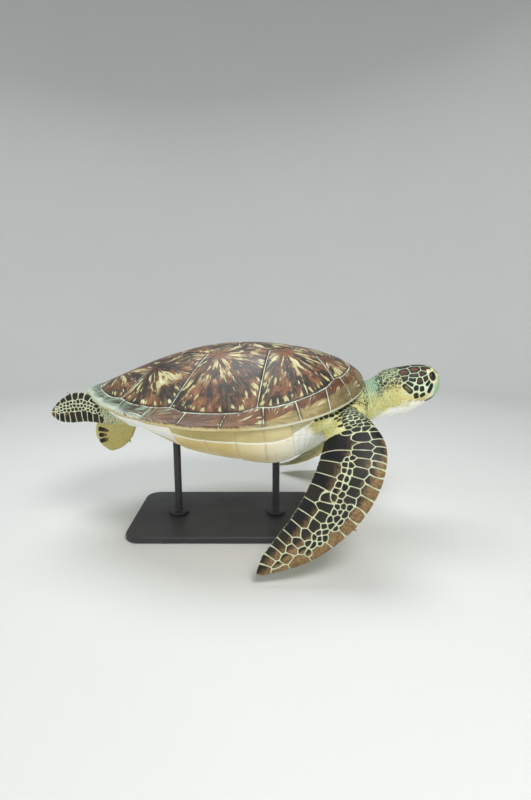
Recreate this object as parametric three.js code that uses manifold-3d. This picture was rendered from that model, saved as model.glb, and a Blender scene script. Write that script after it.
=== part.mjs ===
// A green sea turtle (Chelonia mydas), swimming, life size, held by a display stand.
// Millimetres. +X runs to the head, +Y to the animal's left, +Z up. The origin is the middle of
// the underside of the stand's base. The animal is drawn round an origin of its own, at the
// height of the shell's margin, and BODY_HEIGHT lifts that over the floor.
import * as THREE from 'three';
import { mergeVertices } from 'three/addons/utils/BufferGeometryUtils.js';
import Module from 'manifold-3d';

const wasm = await Module();
wasm.setup();

// ---------- Driving dimensions ----------

const GAP = 0.3;                // clearance between pieces that touch
const CUT_MARGIN = 0.45;        // how far a cutter stands proud, so that GAP is kept everywhere
const BODY_HEIGHT = 362;        // the animal's own origin over the floor

const SHELL_MIDDLE = -5;        // x of the shell's broadest part
const SHELL_FRONT = 406;        // from there to the nuchal
const SHELL_REAR = 388;         // and to the rearmost marginals
const SHELL_HALF_WIDTH = 305;
const SHELL_SHOULDER = 0.16;    // how much broader the front half is than the rear
const APEX_X = 60;              // the highest point of the dome
const APEX_Z = 181;
const DOME_FRONT = 0.56;        // how the dome meets the margin: bluntly below 1, with a flare above
const DOME_SIDE = 1.28;
const DOME_REAR = 1.31;
const MARGIN_Z = 6;             // height of the margin half way along the body
const MARGIN_RISE_FRONT = 66;   // how far the margin lifts over the neck
const MARGIN_RISE_REAR = 46;    // and over the tail
const RIM_THICKNESS = 9;
const UNDERSIDE_Z = 10;         // underside of the shell over the middle of the body

const INNER_RING = 0.87;        // the seam between costals and marginals, as a share of the outline
const SEAM_WIDTH = 4;           // slope at each plate's edge
const PLATE_RAISE = 2.6;
const PLATE_STEP = 34;          // about how long a side of a plate's outline is

const TORSO_REAR_X = -372;
const NECK_X = 392;             // where the torso ends and the neck starts
const HEAD_X = 480;             // where the neck ends and the head starts
const SNOUT_X = 629;

const EYE = new THREE.Vector3(592, 28, 90);
const EYE_RADIUS = 14;

const BASE_LENGTH = 560;
const BASE_WIDTH = 340;
const BASE_HEIGHT = 20;
const BASE_CORNER = 40;
const BASE_CHAMFER = 3;
const ROD_RADIUS = 11;
const ROD_FRONT_X = 150;
const ROD_REAR_X = -150;
const ROD_FOOT_RADIUS = 24;
const ROD_FOOT_HEIGHT = 8;

const degrees = THREE.MathUtils.degToRad;
const { clamp, lerp } = THREE.MathUtils;

// ---------- Materials ----------

const finish = (color, roughness) => new THREE.MeshStandardMaterial({ color, roughness, metalness: 0 });
const shellFinish = finish('#6b3d1e', 0.38);
const plastronFinish = finish('#e6d9a4', 0.5);
const skinFinish = finish('#d9cf9f', 0.6);
const scaleFinish = finish('#33261c', 0.45);
const eyeFinish = finish('#120e0c', 0.08);
const clawFinish = finish('#8c7748', 0.4);
const standFinish = new THREE.MeshStandardMaterial({ color: '#2c2d2f', roughness: 0.45, metalness: 0.6 });

// ---------- Tools for shapes ----------

// A smooth function through [position, value] stations.
function profile(stations) {
  const last = stations.length - 1;
  const slope = stations.map((_, i) => {
    const before = stations[Math.max(i - 1, 0)];
    const after = stations[Math.min(i + 1, last)];
    return (after[1] - before[1]) / (after[0] - before[0]);
  });
  return (x) => {
    let i = 0;
    while (i < last - 1 && x > stations[i + 1][0]) i += 1;
    const width = stations[i + 1][0] - stations[i][0];
    const t = clamp((x - stations[i][0]) / width, 0, 1);
    const ease = t * t * (3 - 2 * t);
    const start = t * (1 - t) * (1 - t) * width * slope[i];
    const end = t * t * (t - 1) * width * slope[i + 1];
    return lerp(stations[i][1], stations[i + 1][1], ease) + start + end;
  };
}

// A geometry of points and triangles, turned so that its faces point out.
function body(points, faces) {
  let volume = 0;
  for (const [a, b, c] of faces) {
    volume += points[a].dot(points[b].clone().cross(points[c]));
  }
  const index = faces.flatMap(([a, b, c]) => (volume > 0 ? [a, b, c] : [a, c, b]));
  const geometry = new THREE.BufferGeometry().setFromPoints(points);
  geometry.setIndex(index);
  return geometry;
}

function middleOf(points) {
  const sum = new THREE.Vector3();
  points.forEach((point) => sum.add(point));
  return sum.divideScalar(points.length);
}

// A closed body through rings of points, each end closed to its middle.
function loft(rings) {
  const count = rings[0].length;
  const points = rings.flat();
  const faces = [];
  for (let i = 0; i + 1 < rings.length; i += 1) {
    for (let j = 0; j < count; j += 1) {
      const next = (j + 1) % count;
      const near = i * count;
      const far = near + count;
      faces.push([near + j, near + next, far + next], [near + j, far + next, far + j]);
    }
  }
  const lastRing = (rings.length - 1) * count;
  const startMiddle = points.push(middleOf(rings[0])) - 1;
  const endMiddle = points.push(middleOf(rings[rings.length - 1])) - 1;
  for (let j = 0; j < count; j += 1) {
    const next = (j + 1) % count;
    faces.push([startMiddle, next, j], [endMiddle, lastRing + j, lastRing + next]);
  }
  return body(points, faces);
}

// The same body, with every point moved out along its normal.
function grown(geometry, distance) {
  const bigger = geometry.clone();
  bigger.computeVertexNormals();
  const position = bigger.attributes.position;
  const normal = bigger.attributes.normal;
  for (let i = 0; i < position.count; i += 1) {
    position.setXYZ(
      i,
      position.getX(i) + normal.getX(i) * distance,
      position.getY(i) + normal.getY(i) * distance,
      position.getZ(i) + normal.getZ(i) * distance,
    );
  }
  return bigger;
}

function solid(geometry) {
  const bare = geometry.clone();
  bare.deleteAttribute('normal');
  bare.deleteAttribute('uv');
  const merged = mergeVertices(bare, 1e-4);
  return new wasm.Manifold(new wasm.Mesh({
    numProp: 3,
    vertProperties: new Float32Array(merged.attributes.position.array),
    triVerts: new Uint32Array(merged.index.array),
  }));
}

// What is cut from a neighbour, so that it keeps its clearance.
const cutter = (geometry) => solid(grown(geometry, CUT_MARGIN)).add(solid(geometry));

// The largest closed surface of a solid, as a geometry.
function geometryOf(shape) {
  const pieces = shape.decompose();
  pieces.sort((a, b) => b.volume() - a.volume());
  const { vertProperties, triVerts } = pieces[0].getMesh();
  const geometry = new THREE.BufferGeometry();
  geometry.setAttribute('position', new THREE.BufferAttribute(new Float32Array(vertProperties), 3));
  geometry.setIndex(Array.from(triVerts));
  return geometry;
}

function piece(name, geometry, material) {
  const mesh = new THREE.Mesh(geometry, material);
  mesh.name = name;
  return mesh;
}

// ---------- Plates that share their seams ----------

// Points on the straight or curved side from one corner to the next, without the last.
function side(from, to, stepLength) {
  const corners = [from.place(from.at), to.place(to.at)];
  const length = Math.hypot(corners[0][0] - corners[1][0], corners[0][1] - corners[1][1]);
  const steps = Math.max(1, Math.round(length / stepLength));
  const curved = from.line !== undefined && from.line === to.line;
  const turn = to.at - from.at - 360 * Math.round((to.at - from.at) / 360);
  const points = [];
  for (let i = 0; i < steps; i += 1) {
    const t = i / steps;
    points.push(curved
      ? from.place(from.at + turn * t)
      : [lerp(corners[0][0], corners[1][0], t), lerp(corners[0][1], corners[1][1], t)]);
  }
  return points;
}

// A corner that is a bare [u, v] point.
const corner = (u, v) => ({ at: [u, v], place: (point) => point });

// A closed body with a plate on each cell. place(u, v, height) is a point over the surface, and
// each of the inner functions gives the next ring of the underside from a point of the rim.
function platedBody(cells, stepLength, place, raise, crown, inner) {
  const points = [];
  const faces = [];
  const known = new Map();
  const rimStart = new Map();
  const atSeam = ([u, v]) => {
    const key = `${Math.round(u * 100)},${Math.round(v * 100)}`;
    if (!known.has(key)) {
      known.set(key, { index: points.push(place(u, v, 0)) - 1, u, v });
    }
    return known.get(key);
  };
  const strip = (outer, ring) => outer.forEach((a, i) => {
    const j = (i + 1) % outer.length;
    faces.push([a, outer[j], ring[j]], [a, ring[j], ring[i]]);
  });

  for (const corners of cells) {
    let outline = corners.flatMap((from, i) => side(from, corners[(i + 1) % corners.length], stepLength));
    const area = outline.reduce((sum, [u, v], i) => {
      const [u2, v2] = outline[(i + 1) % outline.length];
      return sum + u * v2 - u2 * v;
    }, 0);
    if (area < 0) outline = outline.reverse();
    const seam = outline.map(atSeam);
    const middleU = outline.reduce((sum, [u]) => sum + u, 0) / outline.length;
    const middleV = outline.reduce((sum, [, v]) => sum + v, 0) / outline.length;
    const ringAt = (share, height) => outline.map(([u, v]) => {
      const distance = Math.hypot(middleU - u, middleV - v);
      const t = share === 0 ? SEAM_WIDTH / distance : share;
      return points.push(place(lerp(u, middleU, t), lerp(v, middleV, t), height)) - 1;
    });
    const edge = ringAt(0, raise);
    const half = ringAt(0.5, raise + crown * 0.7);
    const middle = points.push(place(middleU, middleV, raise + crown)) - 1;
    strip(seam.map((point) => point.index), edge);
    strip(edge, half);
    half.forEach((a, i) => faces.push([a, half[(i + 1) % half.length], middle]));
    seam.forEach((from, i) => {
      const to = seam[(i + 1) % seam.length];
      const back = `${to.index},${from.index}`;
      if (rimStart.has(back)) rimStart.delete(back);
      else rimStart.set(`${from.index},${to.index}`, [from, to]);
    });
  }

  const following = new Map([...rimStart.values()].map(([from, to]) => [from.index, to]));
  const rim = [[...rimStart.values()][0][0]];
  while (rim.length < following.size) rim.push(following.get(rim[rim.length - 1].index));
  rim.reverse();
  let outer = rim.map((point) => point.index);
  for (const ring of inner) {
    const next = rim.map(({ u, v }) => points.push(ring(u, v)) - 1);
    strip(outer, next);
    outer = next;
  }
  const middle = points.push(middleOf(outer.map((i) => points[i]))) - 1;
  outer.forEach((a, i) => faces.push([a, outer[(i + 1) % outer.length], middle]));
  return body(points, faces);
}

// A low plate of a few sides on a surface, with its root sunk in by sink(u, v).
function scale(place, sink, [u, v], [halfU, halfV], raise) {
  const sides = 6;
  const ring = (share, height) => Array.from({ length: sides }, (_, i) => {
    const turn = (Math.PI * (2 * i + 1)) / sides;
    const atU = u + halfU * share * Math.cos(turn);
    const atV = v + halfV * share * Math.sin(turn);
    return place(atU, atV, height(atU, atV));
  });
  return solid(loft([ring(1, (a, b) => -sink(a, b)), ring(0.86, () => raise)]));
}

// ---------- Carapace ----------

// The outline seen from above, at an angle from the front, as a share of its size from the apex.
function shellPoint(angle, share) {
  const along = Math.cos(degrees(angle));
  const across = Math.sin(degrees(angle));
  const x = SHELL_MIDDLE + (along > 0 ? SHELL_FRONT : SHELL_REAR) * along;
  const y = SHELL_HALF_WIDTH * across * (1 + SHELL_SHOULDER * along);
  return [lerp(APEX_X, x, share), y * share];
}

function marginHeight(angle) {
  const along = Math.cos(degrees(angle));
  const rise = along > 0 ? MARGIN_RISE_FRONT : MARGIN_RISE_REAR;
  return MARGIN_Z + rise * Math.abs(along) ** 2.2;
}

// The outline's angle and share for a point seen from above.
function shellAngle(x, y) {
  let low = 0;
  let high = 180;
  const across = Math.abs(y);
  for (let i = 0; i < 40; i += 1) {
    const angle = (low + high) / 2;
    const [rimX, rimY] = shellPoint(angle, 1);
    if ((rimX - APEX_X) * across - rimY * (x - APEX_X) > 0) low = angle;
    else high = angle;
  }
  const [rimX, rimY] = shellPoint(low, 1);
  const share = Math.hypot(x - APEX_X, across) / Math.hypot(rimX - APEX_X, rimY);
  return { angle: low, share };
}

// The dome is blunt in front, and its sides flare towards the margin.
function shellTop(x, y) {
  const { angle, share } = shellAngle(x, y);
  const turn = degrees(angle);
  const ends = (DOME_FRONT + DOME_REAR) / 2;
  const slant = ((DOME_REAR - DOME_FRONT) / 2) * Math.cos(turn);
  const flare = (DOME_SIDE + ends) / 2 - slant - ((DOME_SIDE - ends) / 2) * Math.cos(2 * turn);
  const margin = marginHeight(angle);
  return margin + (APEX_Z - margin) * Math.max(0, 1 - share * share) ** flare;
}

function shellSurface(x, y, height) {
  const step = 1;
  const slopeX = (shellTop(x + step, y) - shellTop(x - step, y)) / (2 * step);
  const slopeY = (shellTop(x, y + step) - shellTop(x, y - step)) / (2 * step);
  const normal = new THREE.Vector3(-slopeX, -slopeY, 1).normalize();
  return new THREE.Vector3(x, y, shellTop(x, y)).addScaledVector(normal, height);
}

function shellUnderside(x, y, share, drop) {
  const { angle } = shellAngle(x, y);
  const z = lerp(UNDERSIDE_Z, marginHeight(angle) - drop, share ** 2);
  return new THREE.Vector3(lerp(APEX_X, x, share), y * share, z);
}

// Angles of the seams between the marginals, at the rim and at the costals, from the nuchal back.
const RIM_SEAMS = [7.5, 19.5, 31.5, 45.5, 59, 73, 88.5, 104.5, 120, 134.5, 147, 160, 180];
const INNER_SEAMS = [8, 18, 28.5, 41, 58, 72, 87, 104, 121, 137.5, 150, 163, 180];
// Angles where the seams between vertebrals and costals reach the marginals.
const COSTAL_ENDS = [13, 33, 74.5, 112.5, 140];
// Half of each seam between vertebrals, and the outer corner of each vertebral.
const VERTEBRAL_SEAMS = [[302, 36], [194, 38], [44, 38], [-120, 32]];
const VERTEBRAL_CORNERS = [[258, 74], [130, 82], [-40, 74], [-196, 58]];

// The rear marginals stand out like the teeth of a saw.
function rimShare(angle) {
  const turn = Math.abs(angle);
  const k = RIM_SEAMS.findIndex((seam) => turn <= seam);
  if (k < 1) return 1;
  const t = (turn - RIM_SEAMS[k - 1]) / (RIM_SEAMS[k] - RIM_SEAMS[k - 1]);
  const tooth = k < 7 ? 0.003 : 0.016;
  return 1 + tooth * Math.sin(Math.PI * t ** 1.5);
}

const onRim = (angle) => ({ at: angle, line: 'rim', place: (a) => shellPoint(a, rimShare(a)) });
const onInner = (angle) => ({ at: angle, line: 'inner', place: (a) => shellPoint(a, INNER_RING) });

// Corners along the inner seam from one angle to another, with every seam that ends between them.
function innerCorners(from, to) {
  const half = [...INNER_SEAMS, ...COSTAL_ENDS];
  const all = [...new Set([0, ...half, ...half.map((angle) => -angle)])];
  const between = all.filter((angle) => angle >= Math.min(from, to) && angle <= Math.max(from, to));
  between.sort((a, b) => (from < to ? a - b : b - a));
  return between.filter((angle) => !(angle === -180)).map(onInner);
}

function carapaceCells() {
  const cells = [];
  const seam = (k, hand) => corner(VERTEBRAL_SEAMS[k][0], hand * VERTEBRAL_SEAMS[k][1]);
  const point = (k, hand) => corner(VERTEBRAL_CORNERS[k][0], hand * VERTEBRAL_CORNERS[k][1]);

  cells.push([...innerCorners(-INNER_SEAMS[0], INNER_SEAMS[0]), onRim(RIM_SEAMS[0]), onRim(-RIM_SEAMS[0])]);
  cells.push([...innerCorners(-COSTAL_ENDS[0], COSTAL_ENDS[0]), seam(0, 1), seam(0, -1)]);
  for (let k = 0; k < 3; k += 1) {
    cells.push([seam(k, 1), point(k, 1), seam(k + 1, 1), seam(k + 1, -1), point(k, -1), seam(k, -1)]);
  }
  const rear = innerCorners(COSTAL_ENDS[4], 180);
  const mirrored = rear.slice(0, -1).map((c) => onInner(-c.at)).reverse();
  cells.push([seam(3, 1), point(3, 1), ...rear, ...mirrored, point(3, -1), seam(3, -1)]);

  for (const hand of [1, -1]) {
    const ends = COSTAL_ENDS.map((angle) => hand * angle);
    cells.push([...innerCorners(ends[0], ends[1]), point(0, hand), seam(0, hand)]);
    for (let k = 1; k < 4; k += 1) {
      cells.push([...innerCorners(ends[k], ends[k + 1]), point(k, hand), seam(k, hand), point(k - 1, hand)]);
    }
    for (let k = 1; k < RIM_SEAMS.length; k += 1) {
      const inner = innerCorners(hand * INNER_SEAMS[k - 1], hand * INNER_SEAMS[k]);
      if (k === RIM_SEAMS.length - 1 && hand < 0) inner.push(onInner(-180));
      cells.push([...inner, onRim(hand * RIM_SEAMS[k]), onRim(hand * RIM_SEAMS[k - 1])]);
    }
  }
  return cells;
}

function carapaceGeometry() {
  return platedBody(carapaceCells(), PLATE_STEP, shellSurface, PLATE_RAISE, 1.4, [
    (x, y) => shellUnderside(x, y, 0.985, RIM_THICKNESS),
    (x, y) => shellUnderside(x, y, 0.86, RIM_THICKNESS + 2),
    (x, y) => shellUnderside(x, y, 0.5, RIM_THICKNESS),
  ]);
}

// ---------- Trunk, neck and head: one surface from the rump to the snout ----------

const bodyWidth = profile([
  [-372, 40], [-340, 110], [-250, 190], [-120, 262], [0, 285], [120, 288], [230, 250], [300, 205],
  [350, 150], [392, 98], [430, 74], [480, 56], [520, 53], [560, 53], [590, 44], [610, 31], [622, 19], [629, 8],
]);
const bodyKeel = profile([
  [-372, 10], [-330, -12], [-212, -50], [-73, -103], [40, -124], [150, -134], [238, -112], [330, -66],
  [392, -56], [430, -50], [480, -36], [520, -27], [545, -16], [570, -2], [595, 13], [615, 27], [625, 42],
  [629, 56],
]);
const bodySide = profile([
  [-372, 30], [-250, 14], [-100, 2], [100, -4], [230, 8], [300, 14], [392, 6], [430, 18], [480, 38],
  [560, 52], [600, 60], [629, 64],
]);
const bodyCrest = profile([
  [-372, 48], [-250, 60], [230, 80], [330, 74], [384, 62], [404, 70], [432, 76], [446, 84], [464, 99],
  [490, 107], [525, 113], [565, 117.5], [596, 113.5], [612, 106], [621, 96], [627, 81], [629, 72],
]);
const bodyFullness = profile([[-372, 1.1], [300, 1.4], [392, 1.1], [480, 0.95], [629, 0.9]]);
const bellyFullness = profile([
  [-372, 1.1], [-120, 1.22], [0, 1.12], [100, 0.92], [155, 0.86], [205, 1.15], [240, 1.38], [300, 1.4],
  [392, 1.1], [480, 0.95], [629, 0.9],
]);

// A point of the section at x. The angle is 0 below, 90 on the left, 180 on top.
function bodyPoint(x, angle) {
  const across = Math.sin(degrees(angle));
  const down = Math.cos(degrees(angle));
  const y = bodyWidth(x) * Math.sign(across) * Math.abs(across) ** 0.85;
  const reach = down > 0 ? bodyKeel(x) : bodyCrest(x);
  const fullness = down > 0 ? bellyFullness(x) : bodyFullness(x);
  const z = lerp(bodySide(x), reach, Math.abs(down) ** fullness);
  return new THREE.Vector3(x, y, z);
}

function bodyNormal(x, angle) {
  const alongX = bodyPoint(x + 1, angle).sub(bodyPoint(x - 1, angle));
  const around = bodyPoint(x, angle + 1).sub(bodyPoint(x, angle - 1));
  return around.cross(alongX).normalize();
}

const bodySurface = (x, angle, height) => (
  bodyPoint(x, angle).addScaledVector(bodyNormal(x, angle), height)
);

function bodyRing(x, sides) {
  return Array.from({ length: sides }, (_, i) => bodyPoint(x, (i * 360) / sides));
}

function bodyLength(from, to, steps, sides) {
  return loft(Array.from({ length: steps + 1 }, (_, i) => bodyRing(lerp(from, to, i / steps), sides)));
}

// ---------- Plastron ----------

const ANGLE_SCALE = 4.2;        // millimetres along the section for each degree of its angle
const PLASTRON_SEAM = 5;        // how far the seams stand over the flesh
const PLASTRON_DEPTH = 6;       // how far the plastron is let into the flesh
const PLASTRON_MIDDLE = 20;

// Corners of each plate of the left half, as [x, angle]. The midline is at angle 0.
const PLASTRON_PLATES = [
  [[308, 0], [302, 9], [276, 19], [248, 0]],
  [[248, 0], [276, 19], [235, 27], [196, 31], [165, 0]],
  [[165, 0], [196, 31], [192, 48], [125, 48], [55, 48], [48, 0]],
  [[48, 0], [55, 48], [-20, 48], [-100, 48], [-92, 30], [-78, 0]],
  [[-78, 0], [-92, 30], [-140, 30], [-205, 25], [-180, 0]],
  [[-180, 0], [-205, 25], [-260, 16], [-292, 0]],
  [[192, 48], [178, 100], [110, 100], [125, 48]],
  [[125, 48], [110, 100], [38, 100], [55, 48]],
  [[55, 48], [38, 100], [-42, 100], [-20, 48]],
  [[-20, 48], [-42, 100], [-125, 100], [-100, 48]],
];

function plastronGeometry() {
  const cells = [1, -1].flatMap((hand) => PLASTRON_PLATES.map(
    (plate) => plate.map(([x, angle]) => corner(x, hand * angle * ANGLE_SCALE)),
  ));
  const place = (x, v, height) => bodySurface(x, v / ANGLE_SCALE, height + PLASTRON_SEAM);
  const inside = (share) => (x, v) => (
    bodySurface(lerp(PLASTRON_MIDDLE, x, share), (v * share) / ANGLE_SCALE, -PLASTRON_DEPTH)
  );
  return platedBody(cells, PLATE_STEP * 1.6, place, PLATE_RAISE, 0.6, [inside(1), inside(0.6)]);
}

// ---------- Flippers ----------

const vectors = (points) => points.map(([x, y, z]) => new THREE.Vector3(x, y, z));

const CAMBER = 0.025;           // how far a blade bulges, as a share of its chord

// A blade between a leading and a trailing edge, thickest near the leading one. It bulges a little
// to its upper side, which is to the left of the line from root to tip if dorsal is 1.
class Blade {
  constructor({ lead, trail, thickness, dorsal }) {
    this.lead = new THREE.CatmullRomCurve3(vectors(lead), false, 'centripetal');
    this.trail = new THREE.CatmullRomCurve3(vectors(trail), false, 'centripetal');
    this.thickness = profile(thickness);
    this.dorsal = dorsal;
  }

  half(span, chord) {
    const round = Math.sqrt(chord) * (1 - chord) ** 0.7 * 1.75;
    const edge = 0.9 * Math.sin((Math.PI / 2) * Math.min(1, chord * 12 + 0.001)) * (chord < 1 ? 1 : 0);
    return this.thickness(span) * round + edge;
  }

  // A point at a share of the span and chord, on the upper face (1) or the lower (-1).
  point(span, chord, face, height = 0) {
    const front = this.lead.getPoint(span);
    const back = this.trail.getPoint(span);
    const along = this.lead.getTangent(span).add(this.trail.getTangent(span)).normalize();
    const across = back.clone().sub(front);
    const normal = along.clone().cross(across).normalize().multiplyScalar(this.dorsal);
    const bend = CAMBER * across.length() * Math.sin(Math.PI * chord);
    const offset = face * (this.half(span, chord) + height) + bend;
    return front.lerp(back, chord).addScaledVector(normal, offset);
  }

  geometry(spanSteps, chordSteps, tip = 0.985) {
    const chords = Array.from(
      { length: chordSteps + 1 },
      (_, i) => (1 - Math.cos((Math.PI * i) / chordSteps)) / 2,
    );
    const rings = Array.from({ length: spanSteps + 1 }, (_, i) => {
      const span = (tip * i) / spanSteps;
      const upper = chords.map((chord) => this.point(span, chord, 1));
      const lower = chords.slice(1, -1).reverse().map((chord) => this.point(span, chord, -1));
      return [...upper, ...lower];
    });
    return loft(rings);
  }
}

// Rows of scales on a blade: face, first and last span, count, and the middle and half of the
// chord that the row covers.
const FRONT_SCALES = [
  [1, 0.2, 0.92, 8, 0.82, 0.16], [1, 0.28, 0.92, 7, 0.15, 0.13], [-1, 0.24, 0.9, 6, 0.82, 0.15],
];
const HIND_SCALES = [[1, 0.36, 0.9, 4, 0.8, 0.16], [1, 0.36, 0.9, 4, 0.16, 0.13]];
const SCALE_RAISE = 1.3;

function bladeSolid(blade, spanSteps, chordSteps, rows) {
  let whole = solid(blade.geometry(spanSteps, chordSteps));
  const sink = (span, chord) => blade.half(span, chord) * 0.5;
  for (const [face, first, last, count, middle, half] of rows) {
    const place = (span, chord, height) => blade.point(span, clamp(chord, 0.002, 0.985), face, height);
    const step = (last - first) / (count - 1);
    for (let i = 0; i < count; i += 1) {
      whole = whole.add(scale(place, sink, [first + step * i, middle], [step * 0.54, half], SCALE_RAISE));
    }
  }
  return whole;
}

const FRONT_THICKNESS = [[0, 36], [0.14, 30], [0.3, 19], [0.5, 11], [0.75, 6.5], [1, 2.5]];
const HIND_THICKNESS = [[0, 22], [0.3, 15], [0.6, 8], [1, 2.5]];

// The right front flipper hangs at the end of its stroke, its upper side out.
const frontRight = new Blade({
  lead: [
    [358, -150, 14], [386, -226, 2], [410, -290, -40], [401, -338, -92], [374, -351, -162],
    [322, -360, -232], [222, -370, -304], [100, -378, -338],
  ],
  trail: [
    [235, -150, -10], [266, -228, -30], [247, -290, -88], [217, -328, -142], [184, -346, -195],
    [141, -360, -250], [109, -370, -292], [94, -378, -334],
  ],
  thickness: FRONT_THICKNESS,
  dorsal: -1,
});

// The left one lies flatter and sweeps back.
const frontLeft = new Blade({
  lead: [
    [352, 150, 12], [380, 232, -4], [410, 318, -92], [408, 392, -175], [376, 438, -249],
    [322, 452, -304], [248, 446, -331], [168, 424, -334],
  ],
  trail: [
    [235, 150, -10], [264, 228, -36], [286, 256, -95], [298, 282, -155], [286, 317, -213],
    [250, 346, -268], [206, 380, -306], [166, 420, -331],
  ],
  thickness: FRONT_THICKNESS,
  dorsal: 1,
});

// The right hind flipper trails, on edge. The left one hangs.
const hindRight = new Blade({
  lead: [
    [-236, -118, 4], [-285, -126, 14], [-335, -120, 34], [-372, -112, 54], [-410, -110, 54],
    [-446, -112, 34], [-472, -113, 2],
  ],
  trail: [
    [-232, -128, -26], [-282, -134, -28], [-330, -130, -24], [-372, -122, -22], [-414, -117, -26],
    [-450, -114, -22], [-470, -113, -6],
  ],
  thickness: HIND_THICKNESS,
  dorsal: 1,
});

const hindLeft = new Blade({
  lead: [
    [-232, 120, 2], [-268, 138, -26], [-294, 142, -62], [-306, 138, -104], [-322, 132, -142],
    [-352, 128, -170], [-388, 126, -183],
  ],
  trail: [
    [-262, 118, 4], [-318, 132, -16], [-374, 138, -40], [-420, 136, -72], [-437, 132, -108],
    [-426, 128, -152], [-393, 126, -181],
  ],
  thickness: HIND_THICKNESS,
  dorsal: 1,
});

const CLAW_SPAN = 0.7;

// A claw on a blade's leading edge, curved towards the tip.
function claw(blade, span, length) {
  const root = blade.lead.getPoint(span);
  const tipwards = blade.lead.getTangent(span);
  const out = root.clone().sub(blade.trail.getPoint(span)).normalize();
  const sides = 6;
  const steps = 4;
  const rings = Array.from({ length: steps + 1 }, (_, i) => {
    const t = i / steps;
    const middle = root.clone()
      .addScaledVector(out, length * (t * 1.2 - 0.35))
      .addScaledVector(tipwards, length * t * t * 0.8);
    const radius = lerp(length * 0.24, 0.5, t ** 1.3);
    const ahead = out.clone().multiplyScalar(1.2).addScaledVector(tipwards, 1.6 * t).normalize();
    const first = new THREE.Vector3(0, 0, 1).cross(ahead).normalize();
    const second = ahead.clone().cross(first);
    return Array.from({ length: sides }, (__, j) => {
      const turn = (2 * Math.PI * j) / sides;
      return middle.clone()
        .addScaledVector(first, radius * Math.cos(turn))
        .addScaledVector(second, radius * Math.sin(turn));
    });
  });
  return loft(rings);
}

// ---------- Head ----------

function eyeAt(hand) {
  return new THREE.Vector3(EYE.x, hand * EYE.y, EYE.z);
}

function ball(centre, radius, columns, rows) {
  const sphere = new THREE.SphereGeometry(radius, columns, rows);
  sphere.translate(centre.x, centre.y, centre.z);
  return sphere;
}

// A ring of lid round the eye, higher than long, its top leaning back.
function lids(hand) {
  const ring = new THREE.TorusGeometry(EYE_RADIUS * 0.86, 3.2, 5, 16);
  ring.scale(0.88, 1.14, 1);
  ring.rotateZ(degrees(21));
  ring.rotateX(degrees(90 + hand * -12));
  ring.rotateZ(degrees(hand * -14));
  const centre = eyeAt(hand);
  ring.translate(centre.x + 1, centre.y + hand * 8.5, centre.z + 1.5);
  return ring;
}

// The line of the mouth, from one corner round the snout to the other, as a thin cutter.
const MOUTH = [[568, 51], [582, 49], [595, 48], [606, 49], [615, 54], [622, 63]];
const MOUTH_WIDTH = 1.6;
const MOUTH_DEPTH = 3.5;

function mouthLine() {
  const right = MOUTH.map(([x, angle]) => bodyPoint(x, -angle));
  const left = MOUTH.map(([x, angle]) => bodyPoint(x, angle)).reverse();
  const front = new THREE.Vector3(SNOUT_X, 0, bodyPoint(SNOUT_X, 70).z);
  const path = new THREE.CatmullRomCurve3([...right, front, ...left], false, 'centripetal');
  const outward = new THREE.CatmullRomCurve3([
    ...MOUTH.map(([x, angle]) => bodyNormal(x, -angle)),
    new THREE.Vector3(1, 0, 0),
    ...MOUTH.map(([x, angle]) => bodyNormal(x, angle)).reverse(),
  ], false, 'centripetal');
  const steps = 20;
  const half = MOUTH_WIDTH / 2;
  return loft(Array.from({ length: steps + 1 }, (_, i) => {
    const share = i / steps;
    const out = outward.getPoint(share).normalize();
    const across = path.getTangent(share).cross(out).normalize();
    return [[-half, 2], [half, 2], [half, -MOUTH_DEPTH], [-half, -MOUTH_DEPTH]].map(
      ([a, b]) => path.getPoint(share).addScaledVector(across, a).addScaledVector(out, b),
    );
  }));
}

// Shields of the left half of the head, as x, angle and half of each. Those at 180 are single.
const HEAD_SHIELDS = [
  [611, 166, 7, 14], [598, 180, 8, 14], [577, 152, 11, 10], [566, 180, 15, 17], [545, 152, 13, 11],
  [510, 180, 20, 15], [515, 147, 14, 10], [565.5, 132, 8, 8], [543, 129.5, 10, 6], [537, 118.5, 10, 5.5],
  [514, 124, 10, 8], [557, 112, 8, 9], [575, 116, 7, 7], [583, 104, 6.5, 5], [589, 89, 6, 10],
  [528, 108, 11, 6], [521, 95, 9, 9], [547, 96.5, 7, 7.5], [563.5, 93, 7, 7.5], [548, 79.5, 7.5, 8],
  [566, 77, 7.5, 7], [596, 25, 11, 13],
];
const SHIELD_RAISE = 1.2;
const SHIELD_SINK = 2.5;
const NOSTRIL = { x: 622, angle: 166, radius: 2.6 };

function headSolid() {
  const stations = [HEAD_X + GAP / 2, 500, 520, 540, 558, 574, 588, 600, 610, 617, 622.5, 626.5, SNOUT_X];
  let head = solid(loft(stations.map((x) => bodyRing(x, 22))));
  for (const hand of [1, -1]) {
    const place = (x, angle, height) => bodySurface(x, hand * angle, height);
    for (const [x, angle, halfX, halfAngle] of HEAD_SHIELDS) {
      if (angle === 180 && hand < 0) continue;
      head = head.add(scale(place, () => SHIELD_SINK, [x, angle], [halfX, halfAngle], SHIELD_RAISE));
    }
    head = head.add(solid(lids(hand)));
    head = head.subtract(solid(ball(eyeAt(hand), EYE_RADIUS + GAP, 14, 9)));
    head = head.subtract(solid(ball(place(NOSTRIL.x, NOSTRIL.angle, 0), NOSTRIL.radius, 8, 6)));
  }
  return head.subtract(solid(mouthLine()));
}

// ---------- The animal ----------

const turtle = new THREE.Group();
turtle.position.z = BODY_HEIGHT;

const carapace = carapaceGeometry();
const carapaceCutter = cutter(carapace);
turtle.add(piece('carapace', carapace, shellFinish));

const plastronShape = plastronGeometry();
const plastronCutter = cutter(plastronShape);
const plastron = geometryOf(solid(plastronShape).subtract(carapaceCutter));
turtle.add(piece('plastron', plastron, plastronFinish));

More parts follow.
